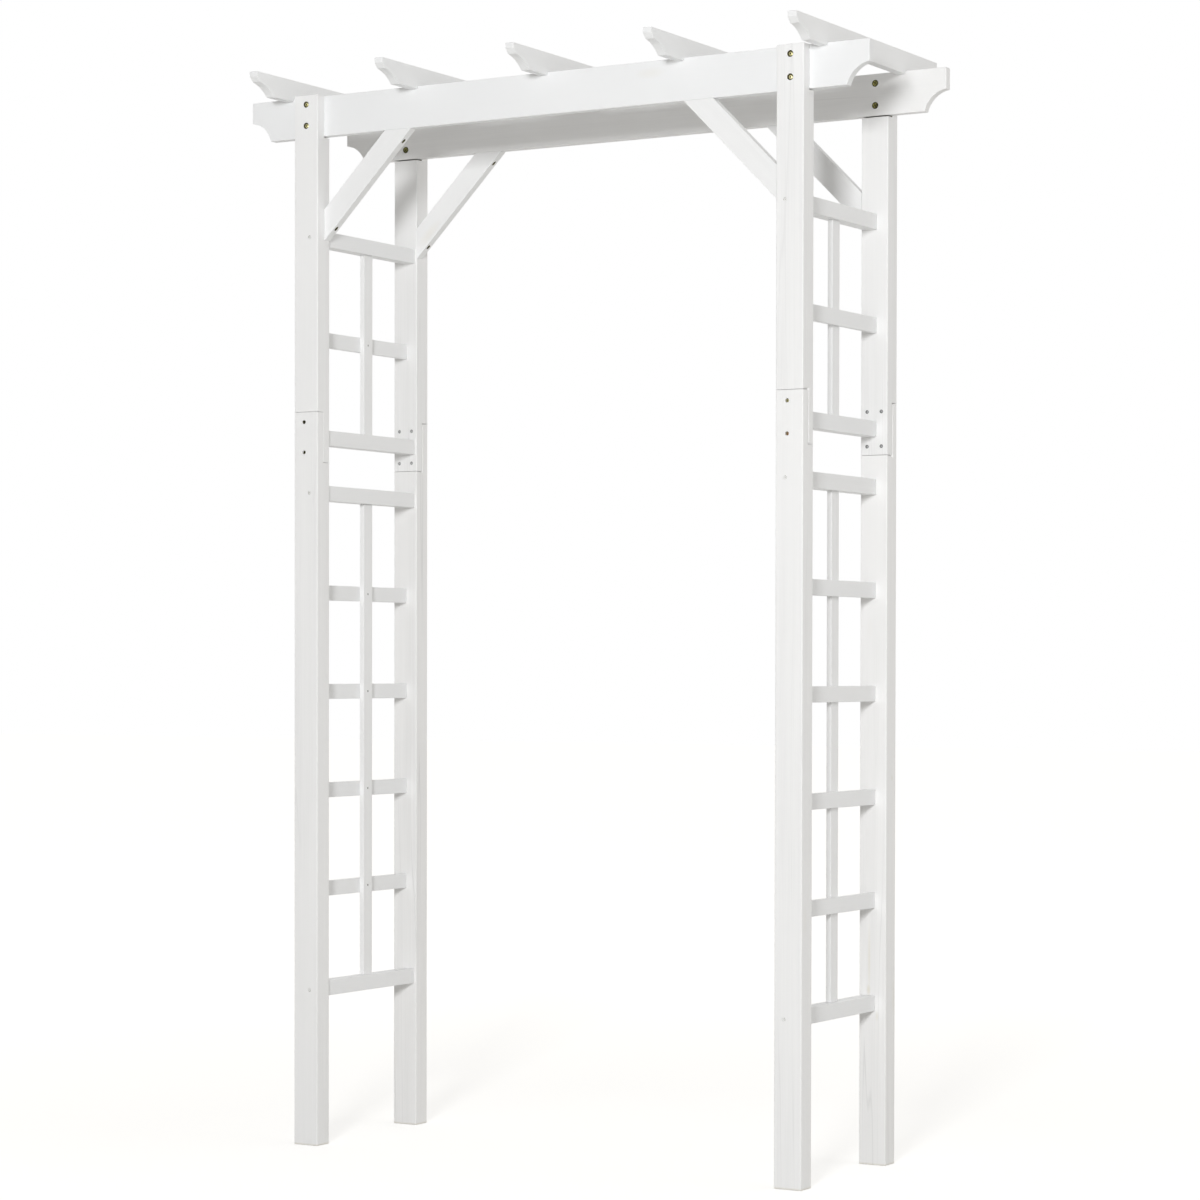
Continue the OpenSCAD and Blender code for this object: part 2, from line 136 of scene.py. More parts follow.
def seen_by_ray(tree):
    """1 for what the camera sees, straight on, mirrored or through glass, and 0 for other light."""
    path = tree.nodes.new("ShaderNodeLightPath")
    seen = join(tree, "MAXIMUM", path.outputs["Is Camera Ray"], path.outputs["Is Glossy Ray"])
    return join(tree, "MAXIMUM", seen, path.outputs["Is Transmission Ray"])


def new_material(name):
    """A material with its node tree and its Principled shader."""
    material = bpy.data.materials.new(name)
    material.use_nodes = True
    return material, material.node_tree, material.node_tree.nodes["Principled BSDF"]


WHITE = (1.0, 1.0, 1.0, 1.0)
ROOM_COLOUR, ROOM_FRONT, ROOM_BACK = (1.0, 0.982, 0.95), 0.18, 0.98
world = bpy.data.worlds.new("white_room")
scene.world = world
world.use_nodes = True
room = world.node_tree
direction = room.nodes.new("ShaderNodeTexCoord")
split = room.nodes.new("ShaderNodeSeparateXYZ")
room.links.new(direction.outputs["Generated"], split.inputs[0])
wall_light = spread(room, split.outputs["Y"], (-1.0, 1.0), (ROOM_FRONT, ROOM_BACK))
tinted = vector_step(room, "SCALE", ROOM_COLOUR, wall_light)
feed(room, room.nodes["Background"].inputs["Color"], mixed(room, seen_by_ray(room), tinted, WHITE))

FLOOR_HALF, FLOOR_COLOUR = 30, (0.66, 0.655, 0.64, 1.0)
# Its own light makes it white to the camera. Round the arbour it is weaker, so that shadows show.
GLOW_REACH, GLOW = (1.0, 3.5), (0.535, 0.64)
floor_mesh = bpy.data.meshes.new("floor")
floor_corners = [(x * FLOOR_HALF, y * FLOOR_HALF, 0)
                 for x, y in ((-1, -1), (1, -1), (1, 1), (-1, 1))]
floor_mesh.from_pydata(floor_corners, [], [(0, 1, 2, 3)])
floor = bpy.data.objects.new("floor", floor_mesh)
scene.collection.objects.link(floor)
floor_paint, floor_tree, floor_shader = new_material("floor_paint")
floor_shader.inputs["Base Color"].default_value = FLOOR_COLOUR
floor_shader.inputs["Roughness"].default_value = 1.0
floor_shader.inputs["Specular IOR Level"].default_value = 0.0
floor_shader.inputs["Emission Color"].default_value = WHITE
floor_place = floor_tree.nodes.new("ShaderNodeTexCoord").outputs["Object"]
floor_light = spread(floor_tree, vector_step(floor_tree, "LENGTH", floor_place), GLOW_REACH, GLOW)
floor_glow = join(floor_tree, "MULTIPLY", seen_by_ray(floor_tree), floor_light)
feed(floor_tree, floor_shader.inputs["Emission Strength"], floor_glow)
floor_mesh.materials.append(floor_paint)


# ---- White paint ----
# Softwood under two coats of white satin paint. The grain still shows as faint streaks along each
# timber, with a few knots that stain the paint slightly and a fine texture left by the brush. Holes
# drilled after painting show bare wood, made darker as painted shade; the same dark wood is
# painted shade in the gap under each beam.
MM = 0.001
EVENLY, MOST_NOISE, MIDDLE_NOISE = (1.0, 1.0, 1.0), (0.3, 0.7), (0.35, 0.65)
BAND_DARK, FIBRE_DARK, CLOUD_SHADE, SATIN = -0.022, -0.016, (0.986, 1.004), (0.36, 0.5)
# The grain shows in patches and through thin paint: the patch pattern's range, the grain's strength
# over that range, and its strength from the thinnest coat to the thickest
PATCH_OPENS, PATCH_SHOWS, COAT_SHOWS = (0.4, 0.68), (0.5, 1.7), (1.4, 0.15)
CRACK_DARK, CRACK_HALF, CRACK_PATCH, CRACK_COAT = 0.12, 0.012, (0.5, 0.6), (0.1, 0.45)
KNOTS_PER_METRE, KNOT_RADIUS = (2.6, 8.0, 8.0), (0.03, 0.11)
BAND_RELIEF, FIBRE_RELIEF, BRUSH_RELIEF = 0.5, 0.2, 0.3


def noise_node(tree, vector, stretch, scale, detail, rough=0.5):
    """A noise pattern, squeezed by stretch along each of the three axes of its space."""
    noise = tree.nodes.new("ShaderNodeTexNoise")
    noise.inputs["Scale"].default_value = scale
    noise.inputs["Detail"].default_value = detail
    noise.inputs["Roughness"].default_value = rough
    feed(tree, noise.inputs["Vector"], vector_step(tree, "MULTIPLY", vector, stretch))
    return noise.outputs["Fac"]


def build_grain_group():
    """The node group painted_grain: streaks, knots and brush texture in a timber's own grain space,
    where X runs along the timber. It puts out the shade, the stain's mask, the roughness and the
    height. The thicker the coat, the less the grain shows."""
    group = bpy.data.node_groups.new("painted_grain", "ShaderNodeTree")
    group.interface.new_socket("Grain", in_out="INPUT", socket_type="NodeSocketVector")
    group.interface.new_socket("Coat", in_out="INPUT", socket_type="NodeSocketFloat")
    for name in ("Shade", "Stain", "Roughness", "Height"):
        group.interface.new_socket(name, in_out="OUTPUT", socket_type="NodeSocketFloat")
    start = group.nodes.new("NodeGroupInput")
    end = group.nodes.new("NodeGroupOutput")
    grain, coat = start.outputs["Grain"], start.outputs["Coat"]
    bands = noise_node(group, grain, stretch=(0.9, 26.0, 26.0), scale=3.0, detail=3.0)
    fibres = noise_node(group, grain, stretch=(6.0, 520.0, 520.0), scale=1.0, detail=2.0)
    brush = noise_node(group, grain, stretch=(60.0, 420.0, 420.0), scale=1.0, detail=3.0, rough=0.6)
    cloud = noise_node(group, grain, stretch=EVENLY, scale=2.2, detail=1.0)
    patch = noise_node(group, grain, stretch=(0.7, 5.0, 5.0), scale=1.7, detail=1.0)
    open_grain = join(group, "MULTIPLY", spread(group, patch, PATCH_OPENS, PATCH_SHOWS),
                      spread(group, coat, (0.0, 1.0), COAT_SHOWS))
    streaks = join(group, "ADD", spread(group, bands, MOST_NOISE, (BAND_DARK, 0.0)),
                   spread(group, fibres, MIDDLE_NOISE, (FIBRE_DARK, 0.0)))
    shade = join(group, "ADD", join(group, "MULTIPLY", streaks, open_grain),
                 spread(group, cloud, MIDDLE_NOISE, CLOUD_SHADE))
    # Fine cracks run where one noise pattern passes its middle value, in patches of thin paint only
    wander = noise_node(group, grain, stretch=(0.8, 34.0, 34.0), scale=1.0, detail=1.0)
    away = join(group, "ABSOLUTE", join(group, "SUBTRACT", wander, 0.5), 0.0)
    crack = spread(group, away, (0.0, CRACK_HALF), (1.0, 0.0))
    crack = join(group, "MULTIPLY", crack, spread(group, patch, CRACK_PATCH, (0.0, 1.0)))
    crack = join(group, "MULTIPLY", crack, spread(group, coat, CRACK_COAT, (CRACK_DARK, 0.0)))
    shade = join(group, "SUBTRACT", shade, crack)
    knots = group.nodes.new("ShaderNodeTexVoronoi")
    knots.inputs["Scale"].default_value = 1.0
    feed(group, knots.inputs["Vector"], vector_step(group, "MULTIPLY", grain, KNOTS_PER_METRE))
    height = join(group, "ADD", join(group, "MULTIPLY", bands, BAND_RELIEF),
                  join(group, "MULTIPLY", fibres, FIBRE_RELIEF))
    height = join(group, "ADD", height, join(group, "MULTIPLY", brush, BRUSH_RELIEF))
    feed(group, end.inputs["Shade"], shade)
    feed(group, end.inputs["Stain"],
         spread(group, knots.outputs["Distance"], KNOT_RADIUS, (1.0, 0.0)))
    feed(group, end.inputs["Roughness"], spread(group, brush, MOST_NOISE, SATIN))
    feed(group, end.inputs["Height"], height)
    return group


grain_group = build_grain_group()
# A thin coat is a warm white and lets the grain show, a thick one is cooler and smooth
THIN_WHITE, THICK_WHITE = (0.902, 0.900, 0.895, 1.0), (0.872, 0.881, 0.889, 1.0)
STAINED, KNOT_TINT = (0.80, 0.775, 0.70, 1.0), 0.35
# Each spot is its middle, its half width, its half height and how strongly it tints the paint
stains_seen = (((0.530, 0.155, 0.335), 0.005, 0.014, 1.0),
               ((0.531, 0.155, 0.395), 0.004, 0.080, 0.6),
               ((0.548, 0.155, 0.285), 0.004, 0.012, 0.5),
               ((-0.5665, -0.170, 0.62), 0.004, 0.03, 0.5),
               ((0.566, 0.180, 0.74), 0.003, 0.008, 0.8))
SPOT_EDGE = (0.2, 1.0)
FOOT_WEAR = 5 * MM
PAINT_GLOSS, GRAIN_RELIEF, GRAIN_DEPTH = 0.4, 0.25, 0.6 * MM


def carried(tree, name, output):
    """What a piece's mesh carries under that name at each of its points."""
    node = tree.nodes.new("ShaderNodeAttribute")
    node.attribute_name = name
    return node.outputs[output]


def white_paint(name):
    """Paint over grain: white times the shade, tinted where a knot, a spot or the ground stains
    it. A spot's strength falls from its middle to the edge of its ellipsoid."""
    material, tree, shader = new_material(name)
    coat = carried(tree, "coat", "Fac")
    grain = tree.nodes.new("ShaderNodeGroup")
    grain.node_tree = grain_group
    feed(tree, grain.inputs["Grain"], carried(tree, "grain", "Vector"))
    feed(tree, grain.inputs["Coat"], coat)
    place = tree.nodes.new("ShaderNodeTexCoord").outputs["Object"]
    stain = join(tree, "MULTIPLY", grain.outputs["Stain"], KNOT_TINT)
    for centre, width, height, strength in stains_seen:
        offset = vector_step(tree, "SUBTRACT", place, centre)
        away = vector_step(tree, "MULTIPLY", offset, (1 / width, 1 / width, 1 / height))
        spot = spread(tree, vector_step(tree, "LENGTH", away), SPOT_EDGE, (strength, 0.0))
        stain = join(tree, "MAXIMUM", stain, spot)
    above = tree.nodes.new("ShaderNodeSeparateXYZ")
    feed(tree, above.inputs[0], place)
    foot = spread(tree, above.outputs["Z"], (0.0, FOOT_WEAR), (1.0, 0.0))
    stain = join(tree, "MAXIMUM", stain, foot)
    colour = mixed(tree, stain, mixed(tree, coat, THIN_WHITE, THICK_WHITE), STAINED)
    shaded = vector_step(tree, "SCALE", colour, grain.outputs["Shade"])
    feed(tree, shader.inputs["Base Color"], shaded)
    feed(tree, shader.inputs["Roughness"], grain.outputs["Roughness"])
    shader.inputs["Specular IOR Level"].default_value = PAINT_GLOSS
    bump = tree.nodes.new("ShaderNodeBump")
    bump.inputs["Strength"].default_value = GRAIN_RELIEF
    bump.inputs["Distance"].default_value = GRAIN_DEPTH
    feed(tree, bump.inputs["Height"], grain.outputs["Height"])
    feed(tree, shader.inputs["Normal"], bump.outputs["Normal"])
    return material


# The bored wood is bare wood darkened further as painted shade: deep in holes, and in the gap under
# each beam.
BORED_AND_SHADED_BROWN, BORED_ROUGHNESS = (0.13, 0.12, 0.06, 1.0), 0.9
timber_paint = white_paint("timber_paint")
bored_wood_and_shade, _, bored_and_shaded_shader = new_material("bored_wood_and_shade")
bored_and_shaded_shader.inputs["Base Color"].default_value = BORED_AND_SHADED_BROWN
bored_and_shaded_shader.inputs["Roughness"].default_value = BORED_ROUGHNESS


# ---- Posts ----
# Four planed posts, 56 by 41 mm, each in two lengths that meet in a half-lap 100 mm long. The
# upper length ends in a rabbet that leaves a 23 mm tongue outside the beam. Long arrises are eased.
FRAME_W, FRAME_D = 1132 * MM, 392 * MM
POST_W, POST_D = 56 * MM, 41 * MM
HEADROOM, BEAM_H, BEAM_T = 2000 * MM, 80 * MM, 18 * MM
LAP_LOW, LAP_HIGH, LAP_V = 1355 * MM, 1455 * MM, 20.5 * MM
TONGUE = POST_D - BEAM_T
# The gap under a beam, the seam of a half-lap, and a hair, which is the least that counts
SEAT_GAP, SEAM, HAIR = 2.2 * MM, 0.5 * MM, 0.1 * MM
# Long arrises stop short of the cut ends, whose own arrises are barely broken
LONG_ARRIS, END_ARRIS, FOOT_ARRIS, ARRIS_STOP = 2 * MM, 0.8 * MM, 1.5 * MM, 4 * MM
WIDEST_ROUND, CORNER_SWELL = 2.5 * MM, 1.2
# In degrees: the least bend of an outline that is eased, and of a surface that shows as a crease
LEAST_BEND, TIMBER_CREASE = 20, 40
ARRIS_STEPS, CORNER_STEPS, HOLE_SIDES = 3, 4, 32
GRAIN_SCATTER, COAT_SCATTER = 40, 0.12
LOWER_COAT, UPPER_COAT = 0.15, 0.3
stock = np.random.default_rng(7)


def eased_outline(points):
    """Each point of a counter-clockwise outline is (p, q, arris). A corner that bends outwards by
    LEAST_BEND degrees or more becomes a short arc: centre + radius times (cos, sin) of angles
    between its two edges' outward normals, where radius is CORNER_SWELL times the arris. Gives the
    path, the inward offset for each unit of inset, and the arris along it."""
    here, edge = np.array([point[:2] for point in points]), np.array([p[2] for p in points])
    before, after = here - np.roll(here, 1, axis=0), np.roll(here, -1, axis=0) - here
    before /= np.linalg.norm(before, axis=1, keepdims=True)
    after /= np.linalg.norm(after, axis=1, keepdims=True)
    out_1, out_2 = before[:, ::-1] * (1, -1), after[:, ::-1] * (1, -1)
    bend = np.arctan2(before[:, 0] * after[:, 1] - before[:, 1] * after[:, 0],
                      (before * after).sum(axis=1))
    mitre = (out_1 + out_2) / (1 + (out_1 * out_2).sum(axis=1, keepdims=True))
    radius = CORNER_SWELL * edge
    first = np.arctan2(out_1[:, 1], out_1[:, 0])
    angle = first[:, None] + bend[:, None] * np.linspace(0, 1, CORNER_STEPS + 1)
    outward = np.stack([np.cos(angle), np.sin(angle)], axis=2)
    path = (here - mitre * radius[:, None])[:, None] + radius[:, None, None] * outward
    offset = -outward
    left = bend < np.radians(LEAST_BEND)
    path[left, 0], offset[left, 0] = here[left], -mitre[left]
    used = ~left[:, None] | (np.arange(CORNER_STEPS + 1) == 0)
    return path[used], offset[used], np.broadcast_to(edge[:, None], used.shape)[used]


def arris_loops(points, thickness):
    """The eased outline, and loops of points (p, q, s) that carry it from one face of the wood to
    the other. At each face an arris is a quarter round: inset = arris times (1 - sin t) and s =
    arris times (1 - cos t). One over WIDEST_ROUND is planed flat, and both run evenly there."""
    path, offset, arris = eased_outline(points)
    t = np.linspace(0, np.pi / 2, ARRIS_STEPS + 1)[:, None]
    even = np.linspace(0, 1, ARRIS_STEPS + 1)[:, None]
    inset = np.where(arris > WIDEST_ROUND, 1 - even, 1 - np.sin(t)) * arris
    rise = np.where(arris > WIDEST_ROUND, even, 1 - np.cos(t)) * arris
    low = np.concatenate([path + inset[..., None] * offset, rise[..., None]], axis=2)
    high = low[::-1].copy()
    high[..., 2] = thickness - high[..., 2]
    return path, np.concatenate([low, high])


def grid_quads(ids):
    """The quads between each row of point numbers and the next, closed round."""
    following = np.roll(ids, -1, axis=1)
    return np.stack([ids[:-1], following[:-1], following[1:], ids[1:]], axis=2)


def circle_about(axis, angle, sense=1):
    """Points of a unit circle square to an axis: cos a times one direction across it plus sin a
    times the other. A sense of -1 runs the other way round."""
    across = np.cross(axis, (0.0, 0.0, 1.0) if abs(axis[2]) < 0.9 else (1.0, 0.0, 0.0))
    across /= np.linalg.norm(across)
    return np.outer(np.cos(angle), across) + np.outer(np.sin(angle), np.cross(sense * axis, across))


def drilled(centre, axis, radius, depth, lip, bare_and_shaded):
    """A recess: a quarter-round lip, a wall and a floor carried round the axis, which points into
    the timber. Ring point = centre + axis times its depth + its radius times (cos a, sin a).
    Paint covers the lip. The wall and the floor are the dark bored wood over the given share of a
    turn: bare wood, darkened further as painted shade in the recess."""
    axis = np.array(axis, float)
    circle = circle_about(axis, np.linspace(0, 2 * np.pi, HOLE_SIDES, endpoint=False), -1)
    quarter = np.linspace(0, np.pi / 2, 3)
    radii = list(radius + lip * (1 - np.sin(quarter))) + [radius]
    depths = list(lip * (1 - np.cos(quarter))) + [depth]
    rings = [np.array(centre) + axis * d + circle * r for r, d in zip(radii, depths)]
    bare_and_shaded_sides = np.roll(np.arange(HOLE_SIDES) < bare_and_shaded * HOLE_SIDES, stock.integers(HOLE_SIDES))
    return rings, np.array(centre) + axis * depth, bare_and_shaded_sides.astype(int)


def filled(border, holes):
    """Triangles, counter-clockwise, over a flat region with round holes in it. The border and the
    holes are point numbers with 2-D places. A triangle with all its corners on the rim of one hole
    lies in that hole and is left out."""
    loops = [border, *holes]
    index = np.concatenate([numbers for numbers, _ in loops])
    places = np.concatenate([at for _, at in loops])
    edges, start = [], 0
    for numbers, _ in loops:
        ring = start + np.arange(len(numbers))
        edges += np.stack([ring, np.roll(ring, -1)], axis=1).tolist()
        start += len(numbers)
    found = delaunay_2d_cdt([Vector(p) for p in places], edges, [], 1, 1e-9)
    original = [group[0] for group in found[3]]
    triangles = np.array([[original[v] for v in face] for face in found[2]])
    owner = np.repeat(np.arange(len(loops)), [len(numbers) for numbers, _ in loops])[triangles]
    in_hole = (owner[:, 0] > 0) & (owner == owner[:, :1]).all(axis=1)
    a, b, c = places[triangles].transpose(1, 0, 2)
    clockwise = (b - a)[:, 0] * (c - a)[:, 1] - (b - a)[:, 1] * (c - a)[:, 0] < 0
    triangles[clockwise] = triangles[clockwise][:, ::-1]
    return index[triangles[~in_hole]]


def timber(name, node, points, thickness, origin, axes, grain, coat, holes=(),
           seat=(np.inf, np.inf)):
    """A solid piece of wood. Its side view is the outline in p and q, and s runs through its
    thickness. The loops of arris_loops make its edges and its narrow faces, flat faces close it on
    both sides, and all these faces go round the holes. Grain is the way it runs in p and q, and
    coat is how thick the paint is. Faces beyond seat in both p and q get the dark bored wood, as
    painted shade in the gap under a beam."""
    path, loops = arris_loops(points, thickness)
    ids = np.arange(len(loops) * len(path)).reshape(len(loops), len(path))
    quads = grid_quads(ids)
    step = np.roll(path, -1, axis=0) - path
    length = np.linalg.norm(step, axis=1)
    verts, next_id, faces, bare_and_shaded = [loops.reshape(-1, 3)], ids.size, [], []
    wide_rims, narrow_rims = {"low": [], "high": []}, {}
    for rings, floor_centre, bare_and_shaded_sides in holes:
        ring_ids = next_id + np.arange(len(rings) * HOLE_SIDES).reshape(len(rings), HOLE_SIDES)
        floor_id = next_id + ring_ids.size
        next_id = floor_id + 1
        verts += [np.concatenate(rings), floor_centre[None]]
        faces += grid_quads(ring_ids).reshape(-1, 4).tolist()
        faces += [[a, b, floor_id] for a, b in zip(ring_ids[-1], np.roll(ring_ids[-1], -1))]
        bare_and_shaded += [0] * (HOLE_SIDES * (len(rings) - 2)) + np.tile(bare_and_shaded_sides, 2).tolist()
        rim = rings[0]
        if np.ptp(rim[:, 2]) < HAIR:
            wide_rims["low" if rim[0, 2] < HAIR else "high"].append((ring_ids[0], rim[:, :2]))
        else:
            middle = rim.mean(axis=0)[:2]
            share = np.clip(((middle - path) * step).sum(1) / length ** 2, 0, 1)
            gap = np.linalg.norm(path + share[:, None] * step - middle, axis=1)
            narrow_rims.setdefault(int(np.argmin(gap)), []).append((ring_ids[0], rim))
    local = np.concatenate(verts)
    # The quads of the narrow faces, between the two arrises, give way where a hole opens on them
    band = ARRIS_STEPS
    for j, rims in narrow_rims.items():
        way = step[j] / length[j]
        flat = [(numbers, np.stack([(at[:, :2] - path[j]) @ way, at[:, 2]], axis=1))
                for numbers, at in [(quads[band, j], local[quads[band, j]]), *rims]]
        faces += filled(flat[0], flat[1:]).tolist()
    kept = np.ones(quads.shape[:2], bool)
    kept[band, list(narrow_rims)] = False
    faces += quads[kept].tolist()
    faces += filled((ids[0], loops[0, :, :2]), wide_rims["low"])[:, ::-1].tolist()
    faces += filled((ids[-1], loops[-1, :, :2]), wide_rims["high"]).tolist()
    # Faces past the seat take the dark bored wood as painted shade in the gap under the beam.
    bare_and_shaded += [int((local[face, :2].mean(axis=0) > seat).all()) for face in faces[len(bare_and_shaded):]]
    axes = np.array(axes, float)
    if np.dot(np.cross(axes[0], axes[1]), axes[2]) < 0:
        faces = [face[::-1] for face in faces]
    mesh = bpy.data.meshes.new(name)
    mesh.from_pydata((np.array(origin) + local @ axes).tolist(), [], faces)
    along = np.array(grain, float) / np.linalg.norm(grain)
    across = np.array([-along[1], along[0], 0.0])
    grain_space = np.stack([local @ along, local @ across, local[:, 2]], axis=1)
    grain_space += stock.uniform(-GRAIN_SCATTER, GRAIN_SCATTER, 3)
    own_grain = mesh.attributes.new("grain", "FLOAT_VECTOR", "POINT")
    own_grain.data.foreach_set("vector", grain_space.astype(np.float32).ravel())
    thickness_of_coat = coat + stock.uniform(-COAT_SCATTER, COAT_SCATTER)
    own_coat = mesh.attributes.new("coat", "FLOAT", "POINT")
    own_coat.data.foreach_set("value", np.full(len(local), thickness_of_coat, np.float32))
    mesh.materials.append(timber_paint)
    mesh.materials.append(bored_wood_and_shade)
    mesh.polygons.foreach_set("material_index", bare_and_shaded)
    finish_piece(name, mesh, node, TIMBER_CREASE)


def finish_piece(name, mesh, node, crease):
    """Puts a mesh in the scene in place of its node of the frame. Edges that turn by more than
    crease degrees stay crisp, and flat faces are shaded flat."""
    mesh.polygons.foreach_set("use_smooth", np.ones(len(mesh.polygons), bool))
    mesh.set_sharp_from_angle(angle=np.radians(crease))
    mesh.validate()
    piece = bpy.data.objects.new(name, mesh)
    scene.collection.objects.link(piece)
    even = piece.modifiers.new("flat_faces", "WEIGHTED_NORMAL")
    even.keep_sharp = True
    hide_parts(node)
    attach(piece, "root")


post_corners = [(f"{depth}_{side}", sx, sy) for depth, sy in (("front", -1), ("rear", 1))
                for side, sx in (("left", -1), ("right", 1))]
lap_shift, lap_screw_z = 4.5 * MM, (1375 * MM, 1435 * MM)
inner_screw_u, inner_screw_z = (13 * MM, 43 * MM), (1372 * MM, 1438 * MM)
bolt_z = (2020 * MM, 2062 * MM)
rail_screw_u = 37 * MM
rail_screw_z = {"lower": (1295 * MM, 310 * MM), "upper": (1799 * MM,)}
# Radius, depth, lip and the share of a turn whose wall and floor are the dark bored wood, bare
# wood and painted shade, for each kind of recess. The marks are painted over.
LAP_SUNK, BOLT_SUNK = 6 * MM, 5 * MM
LAP_RECESS, BOLT_RECESS = (3.8 * MM, LAP_SUNK, 0.4 * MM, 0.6), (6.1 * MM, BOLT_SUNK, 0.4 * MM, 1.0)
INNER_RECESS, RAIL_MARK = (3.6 * MM, 1.2 * MM, 0.3 * MM, 0.0), (4.0 * MM, 0.9 * MM, 0.3 * MM, 0.3)
# The lap edge that looks to the front, the upper length's in front and the lower's behind, is
# bevelled and catches the light. At the front left the joint is closed.
lap_bevel = {"front_left": END_ARRIS, "front_right": 4 * MM, "rear_left": 3 * MM,
             "rear_right": 4 * MM}


def lower_side(lap):
    """Side view of a lower length: v in from the outer face, and height."""
    lap_v, top = LAP_V - SEAM / 2, LAP_HIGH - SEAM
    return [(0, 0, FOOT_ARRIS), (POST_D, 0, FOOT_ARRIS), (POST_D, ARRIS_STOP, LONG_ARRIS),
            (POST_D, LAP_LOW - ARRIS_STOP, LONG_ARRIS), (POST_D, LAP_LOW, END_ARRIS),
            (lap_v, LAP_LOW, lap), (lap_v, top, lap), (0, top, END_ARRIS),
            (0, LAP_HIGH - ARRIS_STOP, LONG_ARRIS), (0, ARRIS_STOP, LONG_ARRIS)]


def upper_side(lap):
    """Side view of an upper length, which ends in the tongue outside the beam."""
    low, seat, top = LAP_LOW + SEAM, HEADROOM - SEAT_GAP, HEADROOM + BEAM_H
    return [(LAP_V, low, lap), (POST_D, low, END_ARRIS), (POST_D, LAP_LOW + ARRIS_STOP, LONG_ARRIS),
            (POST_D, seat - ARRIS_STOP, LONG_ARRIS), (POST_D, seat, END_ARRIS),
            (TONGUE, seat, END_ARRIS), (TONGUE, top, END_ARRIS), (0, top, END_ARRIS),
            (0, top - ARRIS_STOP, LONG_ARRIS), (0, LAP_HIGH + ARRIS_STOP, LONG_ARRIS),
            (0, LAP_HIGH, END_ARRIS), (LAP_V, LAP_HIGH, lap)]


inward, outward = (1, 0, 0), (-1, 0, 0)
for corner, sx, sy in post_corners:
    place = (sx * FRAME_W / 2, sy * FRAME_D / 2, 0)
    post_axes = [(0, -sy, 0), (0, 0, 1), (-sx, 0, 0)]
    # Seen from outside, the lap's outer screws stand to the left of the middle
    lap_u = POST_W / 2 + lap_shift * sx * -sy
    recesses = [drilled((0, z, lap_u), inward, *LAP_RECESS) for z in lap_screw_z]
    recesses += [drilled((0, z, rail_screw_u), inward, *RAIL_MARK) for z in rail_screw_z["lower"]]
    timber(f"painted_post_lower_{corner}", f"post_lower_{corner}",
           lower_side(END_ARRIS if sy < 0 else lap_bevel[corner]), POST_W, place, post_axes,
           grain=(0, 1, 0), coat=LOWER_COAT, holes=recesses)
    recesses = [drilled((0, z, POST_W / 2), inward, *BOLT_RECESS) for z in bolt_z]
    recesses += [drilled((0, z, rail_screw_u), inward, *RAIL_MARK) for z in rail_screw_z["upper"]]
    recesses += [drilled((POST_D, z, u), outward, *INNER_RECESS)
                 for z in inner_screw_z for u in inner_screw_u]
    timber(f"painted_post_upper_{corner}", f"post_upper_{corner}",
           upper_side(lap_bevel[corner] if sy < 0 else END_ARRIS), POST_W, place, post_axes,
           grain=(0, 1, 0), coat=UPPER_COAT, holes=recesses,
           # The rabbet's faces under the beam take the dark bored wood, which is painted shade in
           # the gap there.
           seat=(TONGUE - HAIR, HEADROOM - SEAT_GAP - HAIR))


# ---- Beams ----
# Two boards, 80 by 18 mm, that run the width of the arch and 120 mm past the posts. A cove is sawn
# under each end. Each beam lies in the posts' rabbets, flush with their inner faces.
BEAM_OVER, NOSE, COVE_L, COVE_R = 120 * MM, 41 * MM, 45 * MM, 52 * MM
BOARD_ARRIS, COVE_STEPS = 1.2 * MM, 14
FLANGE_R, FLANGE_T = 6 * MM, 1.5 * MM
NUT_RECESS = (6.6 * MM, FLANGE_T, 0.4 * MM, 1.0)


def cove(start, end, radius):
    """Points on the way from start to end along a circle whose middle lies to the right of it:
    middle + radius times (cos, sin) of angles spread evenly between the two ends."""
    start, end = np.array(start), np.array(end)
    half = (end - start) / 2
    reach = np.linalg.norm(half)
    sideways = np.array([half[1], -half[0]]) / reach
    middle = start + half + sideways * np.sqrt(radius ** 2 - reach ** 2)
    first, last = (np.arctan2(*(p - middle)[::-1]) for p in (start, end))
    angle = np.linspace(first, last, COVE_STEPS + 1)
    return middle + radius * np.stack([np.cos(angle), np.sin(angle)], axis=1)


def both_ends(right_half, edge):
    """The whole outline from its right half, listed from the bottom middle round to the top."""
    right = [(p, q, edge) for p, q in right_half]
    return right + [(-p, q, e) for p, q, e in reversed(right)]


beam_end = FRAME_W / 2 + BEAM_OVER
beam_cove = cove((beam_end - COVE_L, 0), (beam_end, BEAM_H - NOSE), COVE_R)
beam_side = both_ends([*beam_cove, (beam_end, BEAM_H)], BOARD_ARRIS)
for depth, sy, coat in (("front", -1, 0.9), ("rear", 1, 0.3)):
    recesses = [drilled((sx * (FRAME_W / 2 - POST_W / 2), z - HEADROOM, BEAM_T), (0, 0, -1),
                        *NUT_RECESS) for sx in (-1, 1) for z in bolt_z]
    timber(f"painted_beam_{depth}", f"beam_{depth}", beam_side, BEAM_T,
           (0, sy * (FRAME_D / 2 - TONGUE), HEADROOM), [(1, 0, 0), (0, 0, 1), (0, -sy, 0)],
           grain=(1, 0, 0), coat=coat, holes=recesses)


